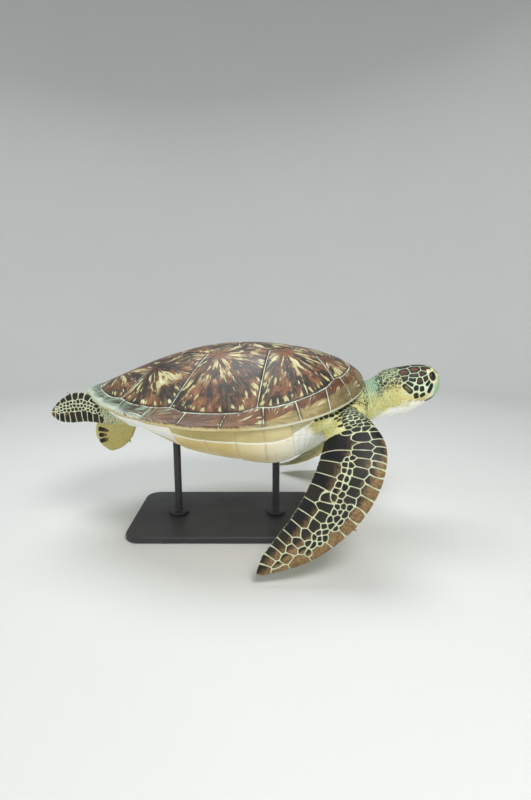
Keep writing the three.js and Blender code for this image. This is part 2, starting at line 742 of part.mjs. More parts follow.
const torsoSteps = 18;
const torsoShape = bodyLength(TORSO_REAR_X, NECK_X - GAP / 2, torsoSteps, 24);
const torsoCutter = cutter(torsoShape);
const torso = solid(torsoShape).subtract(carapaceCutter).subtract(plastronCutter);
turtle.add(piece('torso', geometryOf(torso), skinFinish));

const neck = solid(bodyLength(NECK_X + GAP / 2, HEAD_X - GAP / 2, 7, 24)).subtract(carapaceCutter);
turtle.add(piece('neck', geometryOf(neck), skinFinish));
turtle.add(piece('head', geometryOf(headSolid()), scaleFinish));
for (const [name, hand] of [['eye_left', 1], ['eye_right', -1]]) {
  turtle.add(piece(name, geometryOf(solid(ball(eyeAt(hand), EYE_RADIUS, 14, 9))), eyeFinish));
}

const flippers = [
  ['front_flipper_right', frontRight, 20, 8, FRONT_SCALES, 16],
  ['front_flipper_left', frontLeft, 20, 8, FRONT_SCALES, 16],
  ['hind_flipper_right', hindRight, 12, 7, HIND_SCALES, 12],
  ['hind_flipper_left', hindLeft, 12, 7, HIND_SCALES, 12],
];
for (const [name, blade, spanSteps, chordSteps, rows, clawLength] of flippers) {
  const whole = blade.geometry(spanSteps, chordSteps);
  const scaled = bladeSolid(blade, spanSteps, chordSteps, rows);
  const cut = scaled.subtract(torsoCutter).subtract(carapaceCutter).subtract(plastronCutter);
  turtle.add(piece(name, geometryOf(cut), scaleFinish));
  const clawCut = solid(claw(blade, CLAW_SPAN, clawLength)).subtract(cutter(whole)).subtract(cut);
  turtle.add(piece(name.replace('flipper', 'claw'), geometryOf(clawCut), clawFinish));
}

// The tail is short and lies under the rear of the shell.
function tailGeometry() {
  const path = new THREE.CatmullRomCurve3(vectors([[-340, 0, 14], [-370, 0, 12], [-400, 0, 4], [-416, 0, -6]]));
  const radius = profile([[0, 24], [0.5, 15], [0.85, 7], [1, 2.5]]);
  const steps = 7;
  const sides = 12;
  return loft(Array.from({ length: steps + 1 }, (_, i) => {
    const t = i / steps;
    const middle = path.getPoint(t);
    return Array.from({ length: sides }, (__, j) => {
      const turn = (2 * Math.PI * j) / sides;
      return new THREE.Vector3(
        middle.x,
        middle.y + radius(t) * Math.cos(turn),
        middle.z + radius(t) * 0.8 * Math.sin(turn),
      );
    });
  }));
}
const tail = solid(tailGeometry()).subtract(torsoCutter).subtract(carapaceCutter);
turtle.add(piece('tail', geometryOf(tail), scaleFinish));

// ---------- The stand ----------

function standBase() {
  const outline = new THREE.Shape();
  const halfLength = BASE_LENGTH / 2 - BASE_CHAMFER;
  const halfWidth = BASE_WIDTH / 2 - BASE_CHAMFER;
  const radius = BASE_CORNER;
  outline.moveTo(-halfLength + radius, -halfWidth);
  outline.absarc(halfLength - radius, -halfWidth + radius, radius, -Math.PI / 2, 0);
  outline.absarc(halfLength - radius, halfWidth - radius, radius, 0, Math.PI / 2);
  outline.absarc(-halfLength + radius, halfWidth - radius, radius, Math.PI / 2, Math.PI);
  outline.absarc(-halfLength + radius, -halfWidth + radius, radius, Math.PI, 1.5 * Math.PI);
  const base = new THREE.ExtrudeGeometry(outline, {
    depth: BASE_HEIGHT - 2 * BASE_CHAMFER,
    bevelThickness: BASE_CHAMFER,
    bevelSize: BASE_CHAMFER,
    bevelSegments: 1,
    curveSegments: 3,
  });
  base.translate(0, 0, BASE_CHAMFER);
  return geometryOf(solid(base));
}

// A rod with a foot plate, its top cut to the plastron's shape.
function standRod(x) {
  const top = BODY_HEIGHT + bodyPoint(x, 0).z + 6;
  const profilePoints = [
    [0, BASE_HEIGHT + GAP], [ROD_FOOT_RADIUS, BASE_HEIGHT + GAP],
    [ROD_FOOT_RADIUS, BASE_HEIGHT + ROD_FOOT_HEIGHT - 2], [ROD_FOOT_RADIUS - 2, BASE_HEIGHT + ROD_FOOT_HEIGHT],
    [ROD_RADIUS, BASE_HEIGHT + ROD_FOOT_HEIGHT], [ROD_RADIUS, top], [0, top],
  ].map(([radius, z]) => new THREE.Vector2(radius, z));
  const rod = new THREE.LatheGeometry(profilePoints, 16);
  rod.rotateX(Math.PI / 2);
  rod.translate(x, 0, 0);
  const lifted = [plastronCutter, torsoCutter].map((shape) => shape.translate([0, 0, BODY_HEIGHT]));
  return geometryOf(solid(rod).subtract(lifted[0]).subtract(lifted[1]));
}

const model = new THREE.Group();
model.add(turtle);
model.add(piece('stand_base', standBase(), standFinish));
model.add(piece('stand_rod_front', standRod(ROD_FRONT_X), standFinish));
model.add(piece('stand_rod_rear', standRod(ROD_REAR_X), standFinish));

export default model;
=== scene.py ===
"""A green sea turtle, life size, swimming over a plain display stand.

The shapes are worked out in millimetres round the animal's own origin, the middle of the shell at
the height of its margin. +X runs to the head, +Y to the animal's left and +Z up.
"""

import math
from functools import cached_property
from types import SimpleNamespace

import bpy
import numpy as np
from mathutils import Euler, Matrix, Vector
from mathutils.kdtree import KDTree


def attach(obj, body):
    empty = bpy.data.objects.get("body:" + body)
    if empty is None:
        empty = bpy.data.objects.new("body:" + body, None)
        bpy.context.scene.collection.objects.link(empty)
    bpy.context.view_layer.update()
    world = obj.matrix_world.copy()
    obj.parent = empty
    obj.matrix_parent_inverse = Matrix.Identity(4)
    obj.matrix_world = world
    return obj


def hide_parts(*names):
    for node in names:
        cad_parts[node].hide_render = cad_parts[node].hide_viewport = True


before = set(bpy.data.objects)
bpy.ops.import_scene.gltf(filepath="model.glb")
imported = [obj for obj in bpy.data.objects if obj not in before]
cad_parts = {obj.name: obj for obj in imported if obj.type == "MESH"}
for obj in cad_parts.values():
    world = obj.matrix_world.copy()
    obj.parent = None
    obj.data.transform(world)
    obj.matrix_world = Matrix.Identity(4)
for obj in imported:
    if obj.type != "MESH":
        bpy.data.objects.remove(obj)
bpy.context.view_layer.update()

MM = 0.001
BODY_HEIGHT = 362.0
HANDS = (1, -1)
rng = np.random.default_rng(7)


# ---------- Curves and profiles ----------

def profile(*stations):
    """A smooth function through (position, value) stations."""
    xs, vs = np.array(stations, float).T
    last = len(xs) - 1
    number = np.arange(last + 1)
    before, after = np.maximum(number - 1, 0), np.minimum(number + 1, last)
    slope = (vs[after] - vs[before]) / (xs[after] - xs[before])

    def value(x):
        x = np.asarray(x, float)
        i = np.clip(np.searchsorted(xs, x) - 1, 0, last - 1)
        width = xs[i + 1] - xs[i]
        t = np.clip((x - xs[i]) / width, 0, 1)
        ease = t * t * (3 - 2 * t)
        ends = t * (1 - t) ** 2 * slope[i] + t * t * (t - 1) * slope[i + 1]
        return vs[i] + (vs[i + 1] - vs[i]) * ease + ends * width

    return value


def smooth(value, low, high):
    """From 0 to 1 as the value goes from low to high, with a soft start and end."""
    t = np.clip((np.asarray(value, float) - low) / (high - low), 0, 1)
    return t * t * (3 - 2 * t)


def lerp(a, b, t):
    return a + (b - a) * t


def unit(vectors):
    return vectors / np.maximum(np.linalg.norm(vectors, axis=-1, keepdims=True), 1e-9)


def circle(sides):
    """Angles all the way round."""
    return np.arange(sides) * 2 * np.pi / sides


class Curve:
    """A centripetal Catmull-Rom curve, with the same share of its length for each pair of points."""

    def __init__(self, points):
        self.points = np.array(points, float)

    def point(self, share):
        p = self.points
        last = len(p) - 1
        at = np.atleast_1d(np.asarray(share, float)) * last
        i = np.clip(np.floor(at).astype(int), 0, last - 1)
        t = (at - i)[:, None]
        start, end = p[i], p[i + 1]
        before = np.where((i > 0)[:, None], p[np.maximum(i - 1, 0)], 2 * p[0] - p[1])
        after = np.where((i < last - 1)[:, None], p[np.minimum(i + 2, last)], 2 * p[-1] - p[-2])
        t0, t1, t2 = (np.sqrt(np.linalg.norm(b - a, axis=1, keepdims=True))
                      for a, b in ((before, start), (start, end), (end, after)))
        m1 = ((start - before) / t0 - (end - before) / (t0 + t1)) * t1 + end - start
        m2 = ((after - end) / t2 - (after - start) / (t1 + t2)) * t1 + end - start
        square = 3 * (end - start) - 2 * m1 - m2
        cube = 2 * (start - end) + m1 + m2
        return start + m1 * t + square * t**2 + cube * t**3

    def tangent(self, share, step=1e-4):
        share = np.atleast_1d(np.asarray(share, float))
        return unit(self.point(np.clip(share + step, 0, 1)) - self.point(np.clip(share - step, 0, 1)))


# ---------- Meshes ----------

def link(name, data):
    """A new object in the scene."""
    obj = bpy.data.objects.new(name, data)
    bpy.context.scene.collection.objects.link(obj)
    return obj


def place_vertices(mesh, points):
    """Puts vertices at millimetre points of the animal's frame."""
    metres = (np.asarray(points, float) + [0, 0, BODY_HEIGHT]) * MM
    mesh.vertices.foreach_set("co", metres.astype(np.float32).ravel())


def set_attributes(mesh, **attributes):
    """Stores values per point, one or three each, for the material to read."""
    for name, values in attributes.items():
        values = np.asarray(values, np.float32)
        kind, key = ("FLOAT", "value") if values.ndim == 1 else ("FLOAT_VECTOR", "vector")
        mesh.attributes.new(name, kind, "POINT").data.foreach_set(key, values.ravel())


def new_object(name, points, faces, **attributes):
    """A smooth mesh of quads."""
    faces = np.asarray(faces, np.int32)
    mesh = bpy.data.meshes.new(name)
    mesh.vertices.add(len(points))
    place_vertices(mesh, points)
    mesh.loops.add(faces.size)
    mesh.loops.foreach_set("vertex_index", faces.ravel())
    mesh.polygons.add(len(faces))
    mesh.polygons.foreach_set("loop_start", np.arange(0, faces.size, 4, dtype=np.int32))
    mesh.polygons.foreach_set("use_smooth", np.ones(len(faces), bool))
    mesh.update(calc_edges=True)
    mesh.validate()
    set_attributes(mesh, **attributes)
    return link(name, mesh)


def fetch(items, key, width, kind=np.float32):
    """One property of a mesh's vertices, normals or edges as an array."""
    values = np.empty(len(items) * width, kind)
    items.foreach_get(key, values)
    return values.reshape(-1, width)


def grid_faces(rows, columns, around=False, looped=False):
    """Quads between the points of a grid, closed round each row if around, and along it if looped."""
    i, j = np.meshgrid(np.arange(rows if looped else rows - 1),
                       np.arange(columns if around else columns - 1), indexing="ij")
    below, beside = (i + 1) % rows, (j + 1) % columns
    corners = [i * columns + j, i * columns + beside, below * columns + beside, below * columns + j]
    return np.stack(corners, -1).reshape(-1, 4)


def facing_out(points, faces):
    """A closed body, with its faces turned over if they look inwards."""
    a, b, c, d = (points[faces[:, k]] for k in range(4))
    volume = (np.cross(b - a, c - a) * a).sum() + (np.cross(c - a, d - a) * a).sum()
    return points, faces if volume > 0 else faces[:, ::-1]


def closed_loft(rings):
    """Points and quads of a closed body through rings of an even number of points."""
    rows, columns = rings.shape[:2]
    j = np.arange(columns // 2 - 1)
    cap = np.stack([j, j + 1, columns - 2 - j, columns - 1 - j], -1)
    end_cap = (rows - 1) * columns + cap[:, ::-1]
    faces = np.concatenate([grid_faces(rows, columns, around=True), cap, end_cap])
    return facing_out(rings.reshape(-1, 3), faces)


def thick_sheet(top, bottom, faces):
    """A closed body between two sheets that share their faces."""
    count = len(top)
    edges = np.concatenate([faces[:, [k, (k + 1) % 4]] for k in range(4)])
    keys = edges[:, 0].astype(np.int64) * count + edges[:, 1]
    backs = edges[:, 1].astype(np.int64) * count + edges[:, 0]
    rim = edges[~np.isin(backs, keys)]
    walls = np.stack([rim[:, 1], rim[:, 0], rim[:, 0] + count, rim[:, 1] + count], -1)
    faces = np.concatenate([faces, faces[:, ::-1] + count, walls])
    return facing_out(np.concatenate([top, bottom]), faces)


def tube(middle, first, second, wide, high, sides):
    """Ellipses round the points of a path, by their two directions and half sizes."""
    first, second = (np.broadcast_to(axis, middle.shape)[:, None] for axis in (first, second))
    turn = circle(sides)
    return (middle[:, None] + first * (wide[:, None] * np.cos(turn))[..., None]
            + second * (high[:, None] * np.sin(turn))[..., None])


def ball_rings(centre, radii, steps=30, sides=40):
    across = np.linspace(0.02, np.pi - 0.02, steps)[:, None]
    turn = circle(sides)[None]
    flat = [np.sin(across) * np.cos(turn), np.sin(across) * np.sin(turn), np.cos(across) + 0 * turn]
    return np.array(centre) + np.stack(flat, -1) * np.array(radii)


def distance_to(points, starts, ends, chunk=20000):
    """The distance from each point to the nearest of some segments."""
    result = np.empty(len(points))
    along = ends - starts
    length = np.maximum((along**2).sum(-1), 1e-9)
    for first in range(0, len(points), chunk):
        p = points[first:first + chunk, None]
        t = np.clip(((p - starts) * along).sum(-1) / length, 0, 1)
        gap = p - starts - t[..., None] * along
        result[first:first + chunk] = np.sqrt((gap**2).sum(-1).min(1))
    return result


def inside(points, outline):
    """Which 2-D points lie in a closed outline."""
    x, y = points.T
    found = np.zeros(len(points), bool)
    for (x1, y1), (x2, y2) in zip(outline, np.roll(outline, -1, axis=0)):
        crosses = (y1 > y) != (y2 > y)
        at = (x2 - x1) * (y - y1) / np.where(y2 == y1, 1e-9, y2 - y1) + x1
        found ^= crosses & (x < at)
    return found


# ---------- Shapes of the shell ----------

SHELL_MIDDLE, SHELL_FRONT, SHELL_REAR = -5, 406, 388
SHELL_HALF_WIDTH, SHELL_SHOULDER = 305, 0.16
APEX_X, APEX_Z = 60, 181
MARGIN_Z, MARGIN_RISE_FRONT, MARGIN_RISE_REAR = 6, 66, 46
DOME_FRONT, DOME_SIDE, DOME_REAR = 0.56, 1.28, 1.31
UNDERSIDE_Z, INNER_RING = 10, 0.87
FRONT_TOOTH, REAR_TOOTH, FIRST_REAR_TOOTH = 0.003, 0.016, 7
SEAM_WIDTH, PLATE_RAISE, PLATE_CROWN = 4.0, 2.6, 1.4
GROWTH_RING_HEIGHT, FAR_FROM_SEAM = 0.07, 60.0
RIM_MM_PER_DEGREE = 5.4
RIM_SEAMS = [7.5, 19.5, 31.5, 45.5, 59, 73, 88.5, 104.5, 120, 134.5, 147, 160, 180]
INNER_SEAMS = [8, 18, 28.5, 41, 58, 72, 87, 104, 121, 137.5, 150, 163, 180]
COSTAL_ENDS = [13, 33, 74.5, 112.5, 140]
VERTEBRAL_SEAMS = [(302, 36), (194, 38), (44, 38), (-120, 32)]
VERTEBRAL_CORNERS = [(258, 74), (130, 82), (-40, 74), (-196, 58)]
COSTAL_AREOLAE = [(285, 72), (168, 84), (-12, 88), (-184, 74)]

# The rounded rim and the underside, from the rim inwards: share of the outline, drop below the margin.
UNDERSIDE = [(1.004, 4.0), (0.997, 7.5), (0.985, 9.0), (0.96, 9.6), (0.93, 10.2), (0.9, 10.8), (0.86, 11.0)]
UNDERSIDE += [(share, 10.5) for share in (0.8, 0.7, 0.6, 0.5, 0.38, 0.26, 0.14, 0.05, 0.01)]


def shell_point(angle, share):
    """The outline seen from above, at an angle from the front, as a share of its size."""
    along, across = np.cos(np.radians(angle)), np.sin(np.radians(angle))
    x = SHELL_MIDDLE + np.where(along > 0, SHELL_FRONT, SHELL_REAR) * along
    y = SHELL_HALF_WIDTH * across * (1 + SHELL_SHOULDER * along)
    return np.stack([lerp(APEX_X, x, share), y * share], -1)


def margin_height(angle):
    along = np.cos(np.radians(angle))
    rise = np.where(along > 0, MARGIN_RISE_FRONT, MARGIN_RISE_REAR)
    return MARGIN_Z + rise * np.abs(along) ** 2.2


def shell_polar(xy):
    """The angle and the share of points seen from above."""
    x, y = xy[..., 0], np.abs(xy[..., 1])
    low, high = np.zeros_like(x), np.full_like(x, 180.0)
    for _ in range(36):
        middle = (low + high) / 2
        rim = shell_point(middle, 1.0)
        before = (rim[..., 0] - APEX_X) * y - rim[..., 1] * (x - APEX_X) > 0
        low, high = np.where(before, middle, low), np.where(before, high, middle)
    rim = shell_point(low, 1.0)
    return low, np.hypot(x - APEX_X, y) / np.hypot(rim[..., 0] - APEX_X, rim[..., 1])


def dome(angle, share):
    """The height of the shell. The dome is fuller in front than behind."""
    turn = np.radians(angle)
    ends = (DOME_FRONT + DOME_REAR) / 2
    flare = ((DOME_SIDE + ends) / 2 - (DOME_REAR - DOME_FRONT) / 2 * np.cos(turn)
             - (DOME_SIDE - ends) / 2 * np.cos(2 * turn))
    margin = margin_height(angle)
    return margin + (APEX_Z - margin) * np.maximum(0, 1 - share**2) ** flare


def shell_surface(xy):
    """Points of the dome over points seen from above."""
    return np.concatenate([xy, dome(*shell_polar(xy))[..., None]], -1)


def from_front(angle):
    """How many degrees an angle is from the front, on either side."""
    return np.abs((np.asarray(angle, float) + 180) % 360 - 180)


def rim_share(angle):
    """The rear marginals stand out like the teeth of a saw."""
    turn, seams = from_front(angle), np.array(RIM_SEAMS)
    k = np.clip(np.searchsorted(seams, turn), 1, len(seams) - 1)
    t = np.clip((turn - seams[k - 1]) / (seams[k] - seams[k - 1]), 0, 1)
    tooth = np.where(k < FIRST_REAR_TOOTH, FRONT_TOOTH, REAR_TOOTH)
    return np.where(turn < seams[0], 1, 1 + tooth * np.sin(np.pi * t**1.5))


def inner_share(angle):
    """How far out the marginals begin. The seam bends in where the costals meet."""
    turn = from_front(angle)
    gap = np.abs(turn[..., None] - np.array(COSTAL_ENDS[1:])).min(-1)
    return INNER_RING + 0.045 * smooth(turn, 112, 150) + 0.008 - 0.022 * np.exp(-(gap / 4.5) ** 2)


def place_corner(kind, at):
    """A corner is an angle on the rim or on the inner edge of the marginals, or else a point."""
    if kind == "point":
        return np.array(at, float)
    return shell_point(at, rim_share(at) if kind == "rim" else inner_share(at))


def outline_of(corners, step=6.0):
    """The outline of a plate, and which of its sides lie on the rim."""
    points, on_rim = [], []
    for (kind, at), (next_kind, next_at) in zip(corners, corners[1:] + corners[:1]):
        start, end = place_corner(kind, at), place_corner(next_kind, next_at)
        steps = max(1, round(float(np.hypot(*(end - start))) / step))
        curved = kind == next_kind and kind != "point"
        turn = (next_at - at - 360 * round((next_at - at) / 360)) if curved else 0
        for i in range(steps):
            t = i / steps
            points.append(place_corner(kind, at + turn * t) if curved else lerp(start, end, t))
            on_rim.append(curved and kind == "rim")
    return np.array(points), np.array(on_rim)


def inner_corners(start, end):
    """The corners on the inner edge of the marginals between two angles, in order."""
    half = INNER_SEAMS + COSTAL_ENDS
    low, high = min(start, end), max(start, end)
    angles = sorted({0, *half, *[-angle for angle in half]})
    corners = [("inner", angle) for angle in angles if low <= angle <= high and angle != -180]
    return corners if start < end else corners[::-1]


def carapace_plates():
    """The kind and the corners of each plate: nuchal, 5 vertebrals, 4 costals and 12 marginals a side."""
    seam, tip = ({hand: [("point", (x, hand * y)) for x, y in places] for hand in HANDS}
                 for places in (VERTEBRAL_SEAMS, VERTEBRAL_CORNERS))
    nuchal, first = INNER_SEAMS[0], COSTAL_ENDS[0]
    rear = inner_corners(COSTAL_ENDS[4], 180)
    mirrored = [("inner", -angle) for _, angle in rear[-2::-1]]
    plates = [
        ("marginal", [*inner_corners(-nuchal, nuchal), ("rim", RIM_SEAMS[0]), ("rim", -RIM_SEAMS[0])]),
        ("vertebral", [*inner_corners(-first, first), seam[1][0], seam[-1][0]]),
        *[("vertebral", [seam[1][k], tip[1][k], seam[1][k + 1], seam[-1][k + 1], tip[-1][k], seam[-1][k]])
          for k in range(3)],
        ("vertebral", [seam[1][3], tip[1][3], *rear, *mirrored, tip[-1][3], seam[-1][3]]),
    ]
    for hand in HANDS:
        for k in range(4):
            inner = inner_corners(hand * COSTAL_ENDS[k], hand * COSTAL_ENDS[k + 1])
            plates.append(("costal", [*inner, tip[hand][k], seam[hand][k], *tip[hand][max(k - 1, 0):k]]))
        for k in range(1, len(RIM_SEAMS)):
            inner = inner_corners(hand * INNER_SEAMS[k - 1], hand * INNER_SEAMS[k])
            if INNER_SEAMS[k] == 180 and hand < 0:
                inner.append(("inner", -180))
            plates.append(("marginal", [*inner, *[("rim", hand * RIM_SEAMS[i]) for i in (k, k - 1)]]))
    return plates


def areola_of(kind, outline):
    """Growth starts high and to the rear on a costal, and low and to the rear on a marginal."""
    middle = outline.mean(0)
    if kind == "vertebral":
        return np.array([lerp(outline[:, 0].min(), outline[:, 0].max(), 0.22), 0.0])
    if kind == "costal":
        places = np.array(COSTAL_AREOLAE) * [1, np.sign(middle[1])]
        return places[np.argmin(np.hypot(*(places - middle).T))]
    outward = outline[np.argmax(np.hypot(outline[:, 0] - APEX_X, outline[:, 1]) - 0.5 * outline[:, 0])]
    return lerp(middle, outward, 0.62)


def plate_marks(points):
    """Per point of the dome: distance to a seam, direction and distance from the areola, and plate."""
    kinds = {"vertebral": 0.0, "costal": 0.5, "marginal": 1.0}
    seam = np.full(len(points), FAR_FROM_SEAM)
    ray, plate = np.zeros((2, len(points), 3))
    for number, (kind, corners) in enumerate(carapace_plates()):
        outline, on_rim = outline_of(corners)
        centre = outline.mean(0)
        held = np.where(inside(points[:, :2], centre + (outline - centre) * 1.004))[0]
        edge = shell_surface(outline)
        seam[held] = distance_to(points[held], edge[~on_rim], np.roll(edge, -1, axis=0)[~on_rim])
        offset = points[held] - shell_surface(areola_of(kind, outline)[None])[0]
        outwards = [0.0, 1.0, 0.0] if kind == "vertebral" else [0.15 * (centre[0] - APEX_X), centre[1], 0.0]
        outwards = unit(np.array(outwards))
        u = offset @ [outwards[1], -outwards[0], 0.0]
        v = offset @ outwards
        v = np.sign(v) * np.hypot(v, offset[:, 2])
        reach = np.hypot(u, v)
        ray[held] = np.stack([u / np.maximum(reach, 1), v / np.maximum(reach, 1), reach], -1)
        plate[held] = [kinds[kind], rng.random(), number * 3.7]
    return np.minimum(seam, FAR_FROM_SEAM), ray, plate


def raise_plates(top, angle, share, distance):
    """Lifts the dome's points between the seams, in crowns and growth rings that fade at the rim."""
    across = np.roll(top, -1, axis=1) - np.roll(top, 1, axis=1)
    normal = unit(np.cross(across, np.gradient(top, axis=0)))
    normal *= np.sign(normal[..., 2:].mean())
    rise = PLATE_RAISE * smooth(distance, 0.0, SEAM_WIDTH * 1.15)
    rise += PLATE_CROWN * (1 - np.exp(-distance / 26))
    rings = GROWTH_RING_HEIGHT * np.sin(distance * 1.25 + 2 * np.sin(angle / 3))
    rings = rings * smooth(distance, 2, 6) * (1 - smooth(distance, 12, 26))
    fade = 1 - 0.75 * smooth(share, 0.985, 1.0)
    return top + normal * ((rise + rings) * fade)[..., None]


def shell_underside(angle):
    rows = []
    for share, drop in UNDERSIDE:
        ring = shell_point(angle, share * (1 + (rim_share(angle) - 1) * float(smooth(share, INNER_RING, 1))))
        z = margin_height(angle) - drop
        if share < 0.99:
            z = lerp(UNDERSIDE_Z, z, share**2)
        rows.append(np.concatenate([ring, z[:, None]], -1))
    return np.array(rows)


def build_carapace():
    columns, rows, rim_rows = 960, 186, 26
    turns = np.arange(columns) * 360.0 / columns - 180
    shares = [np.linspace(0.006, 0.9, rows - rim_rows), np.linspace(0.9, 1.0, rim_rows + 1)[1:]]
    angle, share = np.meshgrid(turns, np.concatenate(shares), indexing="xy")
    toothed = share * (1 + (rim_share(angle) - 1) * smooth(share, INNER_RING, 1))
    top = np.concatenate([shell_point(angle, toothed), dome(angle, np.minimum(toothed, 1))[..., None]], -1)
    seam, ray, plate = plate_marks(top.reshape(-1, 3))
    top = raise_plates(top, angle, share, seam.reshape(share.shape))
    points, faces = closed_loft(np.concatenate([top, shell_underside(turns)]))

    below = len(UNDERSIDE)
    ends = np.array([*RIM_SEAMS[:-1], *[-angle for angle in RIM_SEAMS[:-1]], 180.0])
    rim_gap = from_front(turns[:, None] - ends).min(1) * RIM_MM_PER_DEGREE
    as_rim = lambda values: np.concatenate([values, np.tile(values[-columns:], (below, 1))])
    zone = np.stack([
        np.concatenate([share.ravel(), np.repeat([share for share, _ in UNDERSIDE], columns)]),
        np.concatenate([np.abs(angle).ravel(), np.tile(np.abs(turns), below)]) / 180,
        np.repeat([0, 1], [share.size, below * columns]),
    ], -1)
    return new_object("carapace_shell", points, faces, seam=np.concatenate([seam, np.tile(rim_gap, below)]),
                      ray=as_rim(ray), plate=as_rim(plate), zone=zone)


# ---------- Trunk, neck and head ----------

BODY_REAR, SNOUT_X = -372, 629

body_width = profile(
    (-372, 40), (-340, 110), (-250, 190), (-120, 262), (0, 285), (120, 288), (230, 250), (300, 205),
    (350, 150), (392, 98), (430, 74), (480, 56), (520, 53), (560, 53), (590, 44), (610, 31), (622, 19),
    (629, 8))
body_keel = profile(
    (-372, 10), (-330, -12), (-212, -50), (-73, -103), (40, -124), (150, -134), (238, -112), (330, -66),
    (392, -56), (430, -50), (480, -36), (520, -27), (545, -16), (570, -2), (595, 13), (615, 27), (625, 42),
    (629, 56))
body_side = profile(
    (-372, 30), (-250, 14), (-100, 2), (100, -4), (230, 8), (300, 14), (392, 6), (430, 18), (480, 38),
    (560, 52), (600, 60), (629, 64))
body_crest = profile(
    (-372, 48), (-250, 60), (230, 80), (330, 74), (384, 62), (404, 70), (432, 76), (446, 84), (464, 99),
    (490, 107), (525, 113), (565, 117.5), (596, 113.5), (612, 106), (621, 96), (627, 81), (629, 72))
body_fullness = profile((-372, 1.1), (300, 1.4), (392, 1.1), (480, 0.95), (629, 0.9))
belly_fullness = profile(
    (-372, 1.1), (-120, 1.22), (0, 1.12), (100, 0.92), (155, 0.86), (205, 1.15), (240, 1.38), (300, 1.4),
    (392, 1.1), (480, 0.95), (629, 0.9))

# How high the fold between the marginals and the bridge lies, along the body.
bridge_height = profile(
    (-170, 14), (-130, -8), (-45, -27), (43, -31), (120, -33), (160, -28), (193, -16), (240, 10))


def body_point(x, angle):
    """A point of the section at x. The angle is 0 below, 90 on the left, 180 on top."""
    x, angle = np.broadcast_arrays(np.asarray(x, float), np.asarray(angle, float))
    across, down = np.sin(np.radians(angle)), np.cos(np.radians(angle))
    y = body_width(x) * np.sign(across) * np.abs(across) ** 0.85
    reach = np.where(down > 0, body_keel(x), body_crest(x))
    fullness = np.where(down > 0, belly_fullness(x), body_fullness(x))
    z = lerp(body_side(x), reach, np.abs(down) ** fullness)
    return np.stack([x, y, z], -1)


def body_axes(x, angle, step=1):
    """The directions forwards and round the section."""
    return (body_point(x + 1, angle) - body_point(x - 1, angle),
            body_point(x, angle + step) - body_point(x, angle - step))


def body_surface(x, angle, height):
    ahead, around = body_axes(x, angle)
    return body_point(x, angle) + unit(np.cross(around, ahead)) * np.asarray(height)[..., None]


# ---------- Plastron ----------

PLASTRON_RISE, PLASTRON_DEPTH, PLASTRON_CROWN = 5, 12.0, 0.9
PLASTRON_BEVEL, PLASTRON_MARGIN = 1.1, 11

# The right plates' corners: x and angle. The left ones mirror them.
PLASTRON_PLATES = [
    [(308, 0), (302, 9), (276, 19), (248, 0)],
    [(248, 0), (276, 19), (235, 27), (196, 31), (165, 0)],
    [(165, 0), (196, 31), (192, 48), (125, 48), (55, 48), (48, 0)],
    [(48, 0), (55, 48), (-20, 48), (-100, 48), (-92, 30), (-78, 0)],
    [(-78, 0), (-92, 30), (-140, 30), (-205, 25), (-180, 0)],
    [(-180, 0), (-205, 25), (-260, 16), (-292, 0)],
    [(192, 48), (178, 100), (110, 100), (125, 48)],
    [(125, 48), (110, 100), (38, 100), (55, 48)],
    [(55, 48), (38, 100), (-42, 100), (-20, 48)],
    [(-20, 48), (-42, 100), (-125, 100), (-100, 48)],
]


def build_plastron():
    """Plates over the belly. Round them, the sheet slopes down into the skin."""
    x, angle = np.meshgrid(np.arange(-300, 318, 2.4), np.arange(-106, 106.1, 0.6), indexing="ij")
    faces = grid_faces(*x.shape)
    x, angle = x.ravel(), angle.ravel()
    flat = body_point(x, angle)
    seam = np.zeros(len(x))
    plate = np.zeros((len(x), 3))
    outside = np.ones(len(x), bool)
    share = np.linspace(0, 1, 12, endpoint=False)[:, None]
    starts, ends = [], []
    for number, corners in enumerate(PLASTRON_PLATES):
        for hand in HANDS:
            outline = np.array(corners, float) * [1, hand]
            sides = zip(outline, np.roll(outline, -1, axis=0))
            edge = body_point(*np.concatenate([lerp(a, b, share) for a, b in sides]).T)
            starts.append(edge)
            ends.append(np.roll(edge, -1, axis=0))
            held = inside(np.stack([x, angle], -1), outline)
            seam[held] = distance_to(flat[held], starts[-1], ends[-1])
            plate[held] = [rng.random(), number, hand]
            outside &= ~held
    seam[outside] = -distance_to(flat[outside], np.concatenate(starts), np.concatenate(ends))

    rise = PLASTRON_RISE + PLATE_RAISE * smooth(seam, 0, SEAM_WIDTH)
    rise = rise + PLASTRON_CROWN * (1 - np.exp(-np.maximum(seam, 0) / 30))
    rise = np.where(seam < 0, PLASTRON_RISE + PLASTRON_BEVEL * np.maximum(seam, -14), rise)
    top = body_surface(x, angle, rise)
    bottom = body_surface(x, angle, np.full(len(x), -PLASTRON_DEPTH))
    points, faces = thick_sheet(top, bottom, faces[(seam[faces] > -PLASTRON_MARGIN).all(1)])
    used, back = np.unique(faces, return_inverse=True)
    marks = {"seam": seam, "plate": plate, "bridge": flat[:, 2] - bridge_height(x)}
    marks = {name: np.concatenate([values, values])[used] for name, values in marks.items()}
    return new_object("plastron_plates", points[used], back.reshape(faces.shape), **marks)


# ---------- Flippers and tail ----------

BLADE_END = 0.985


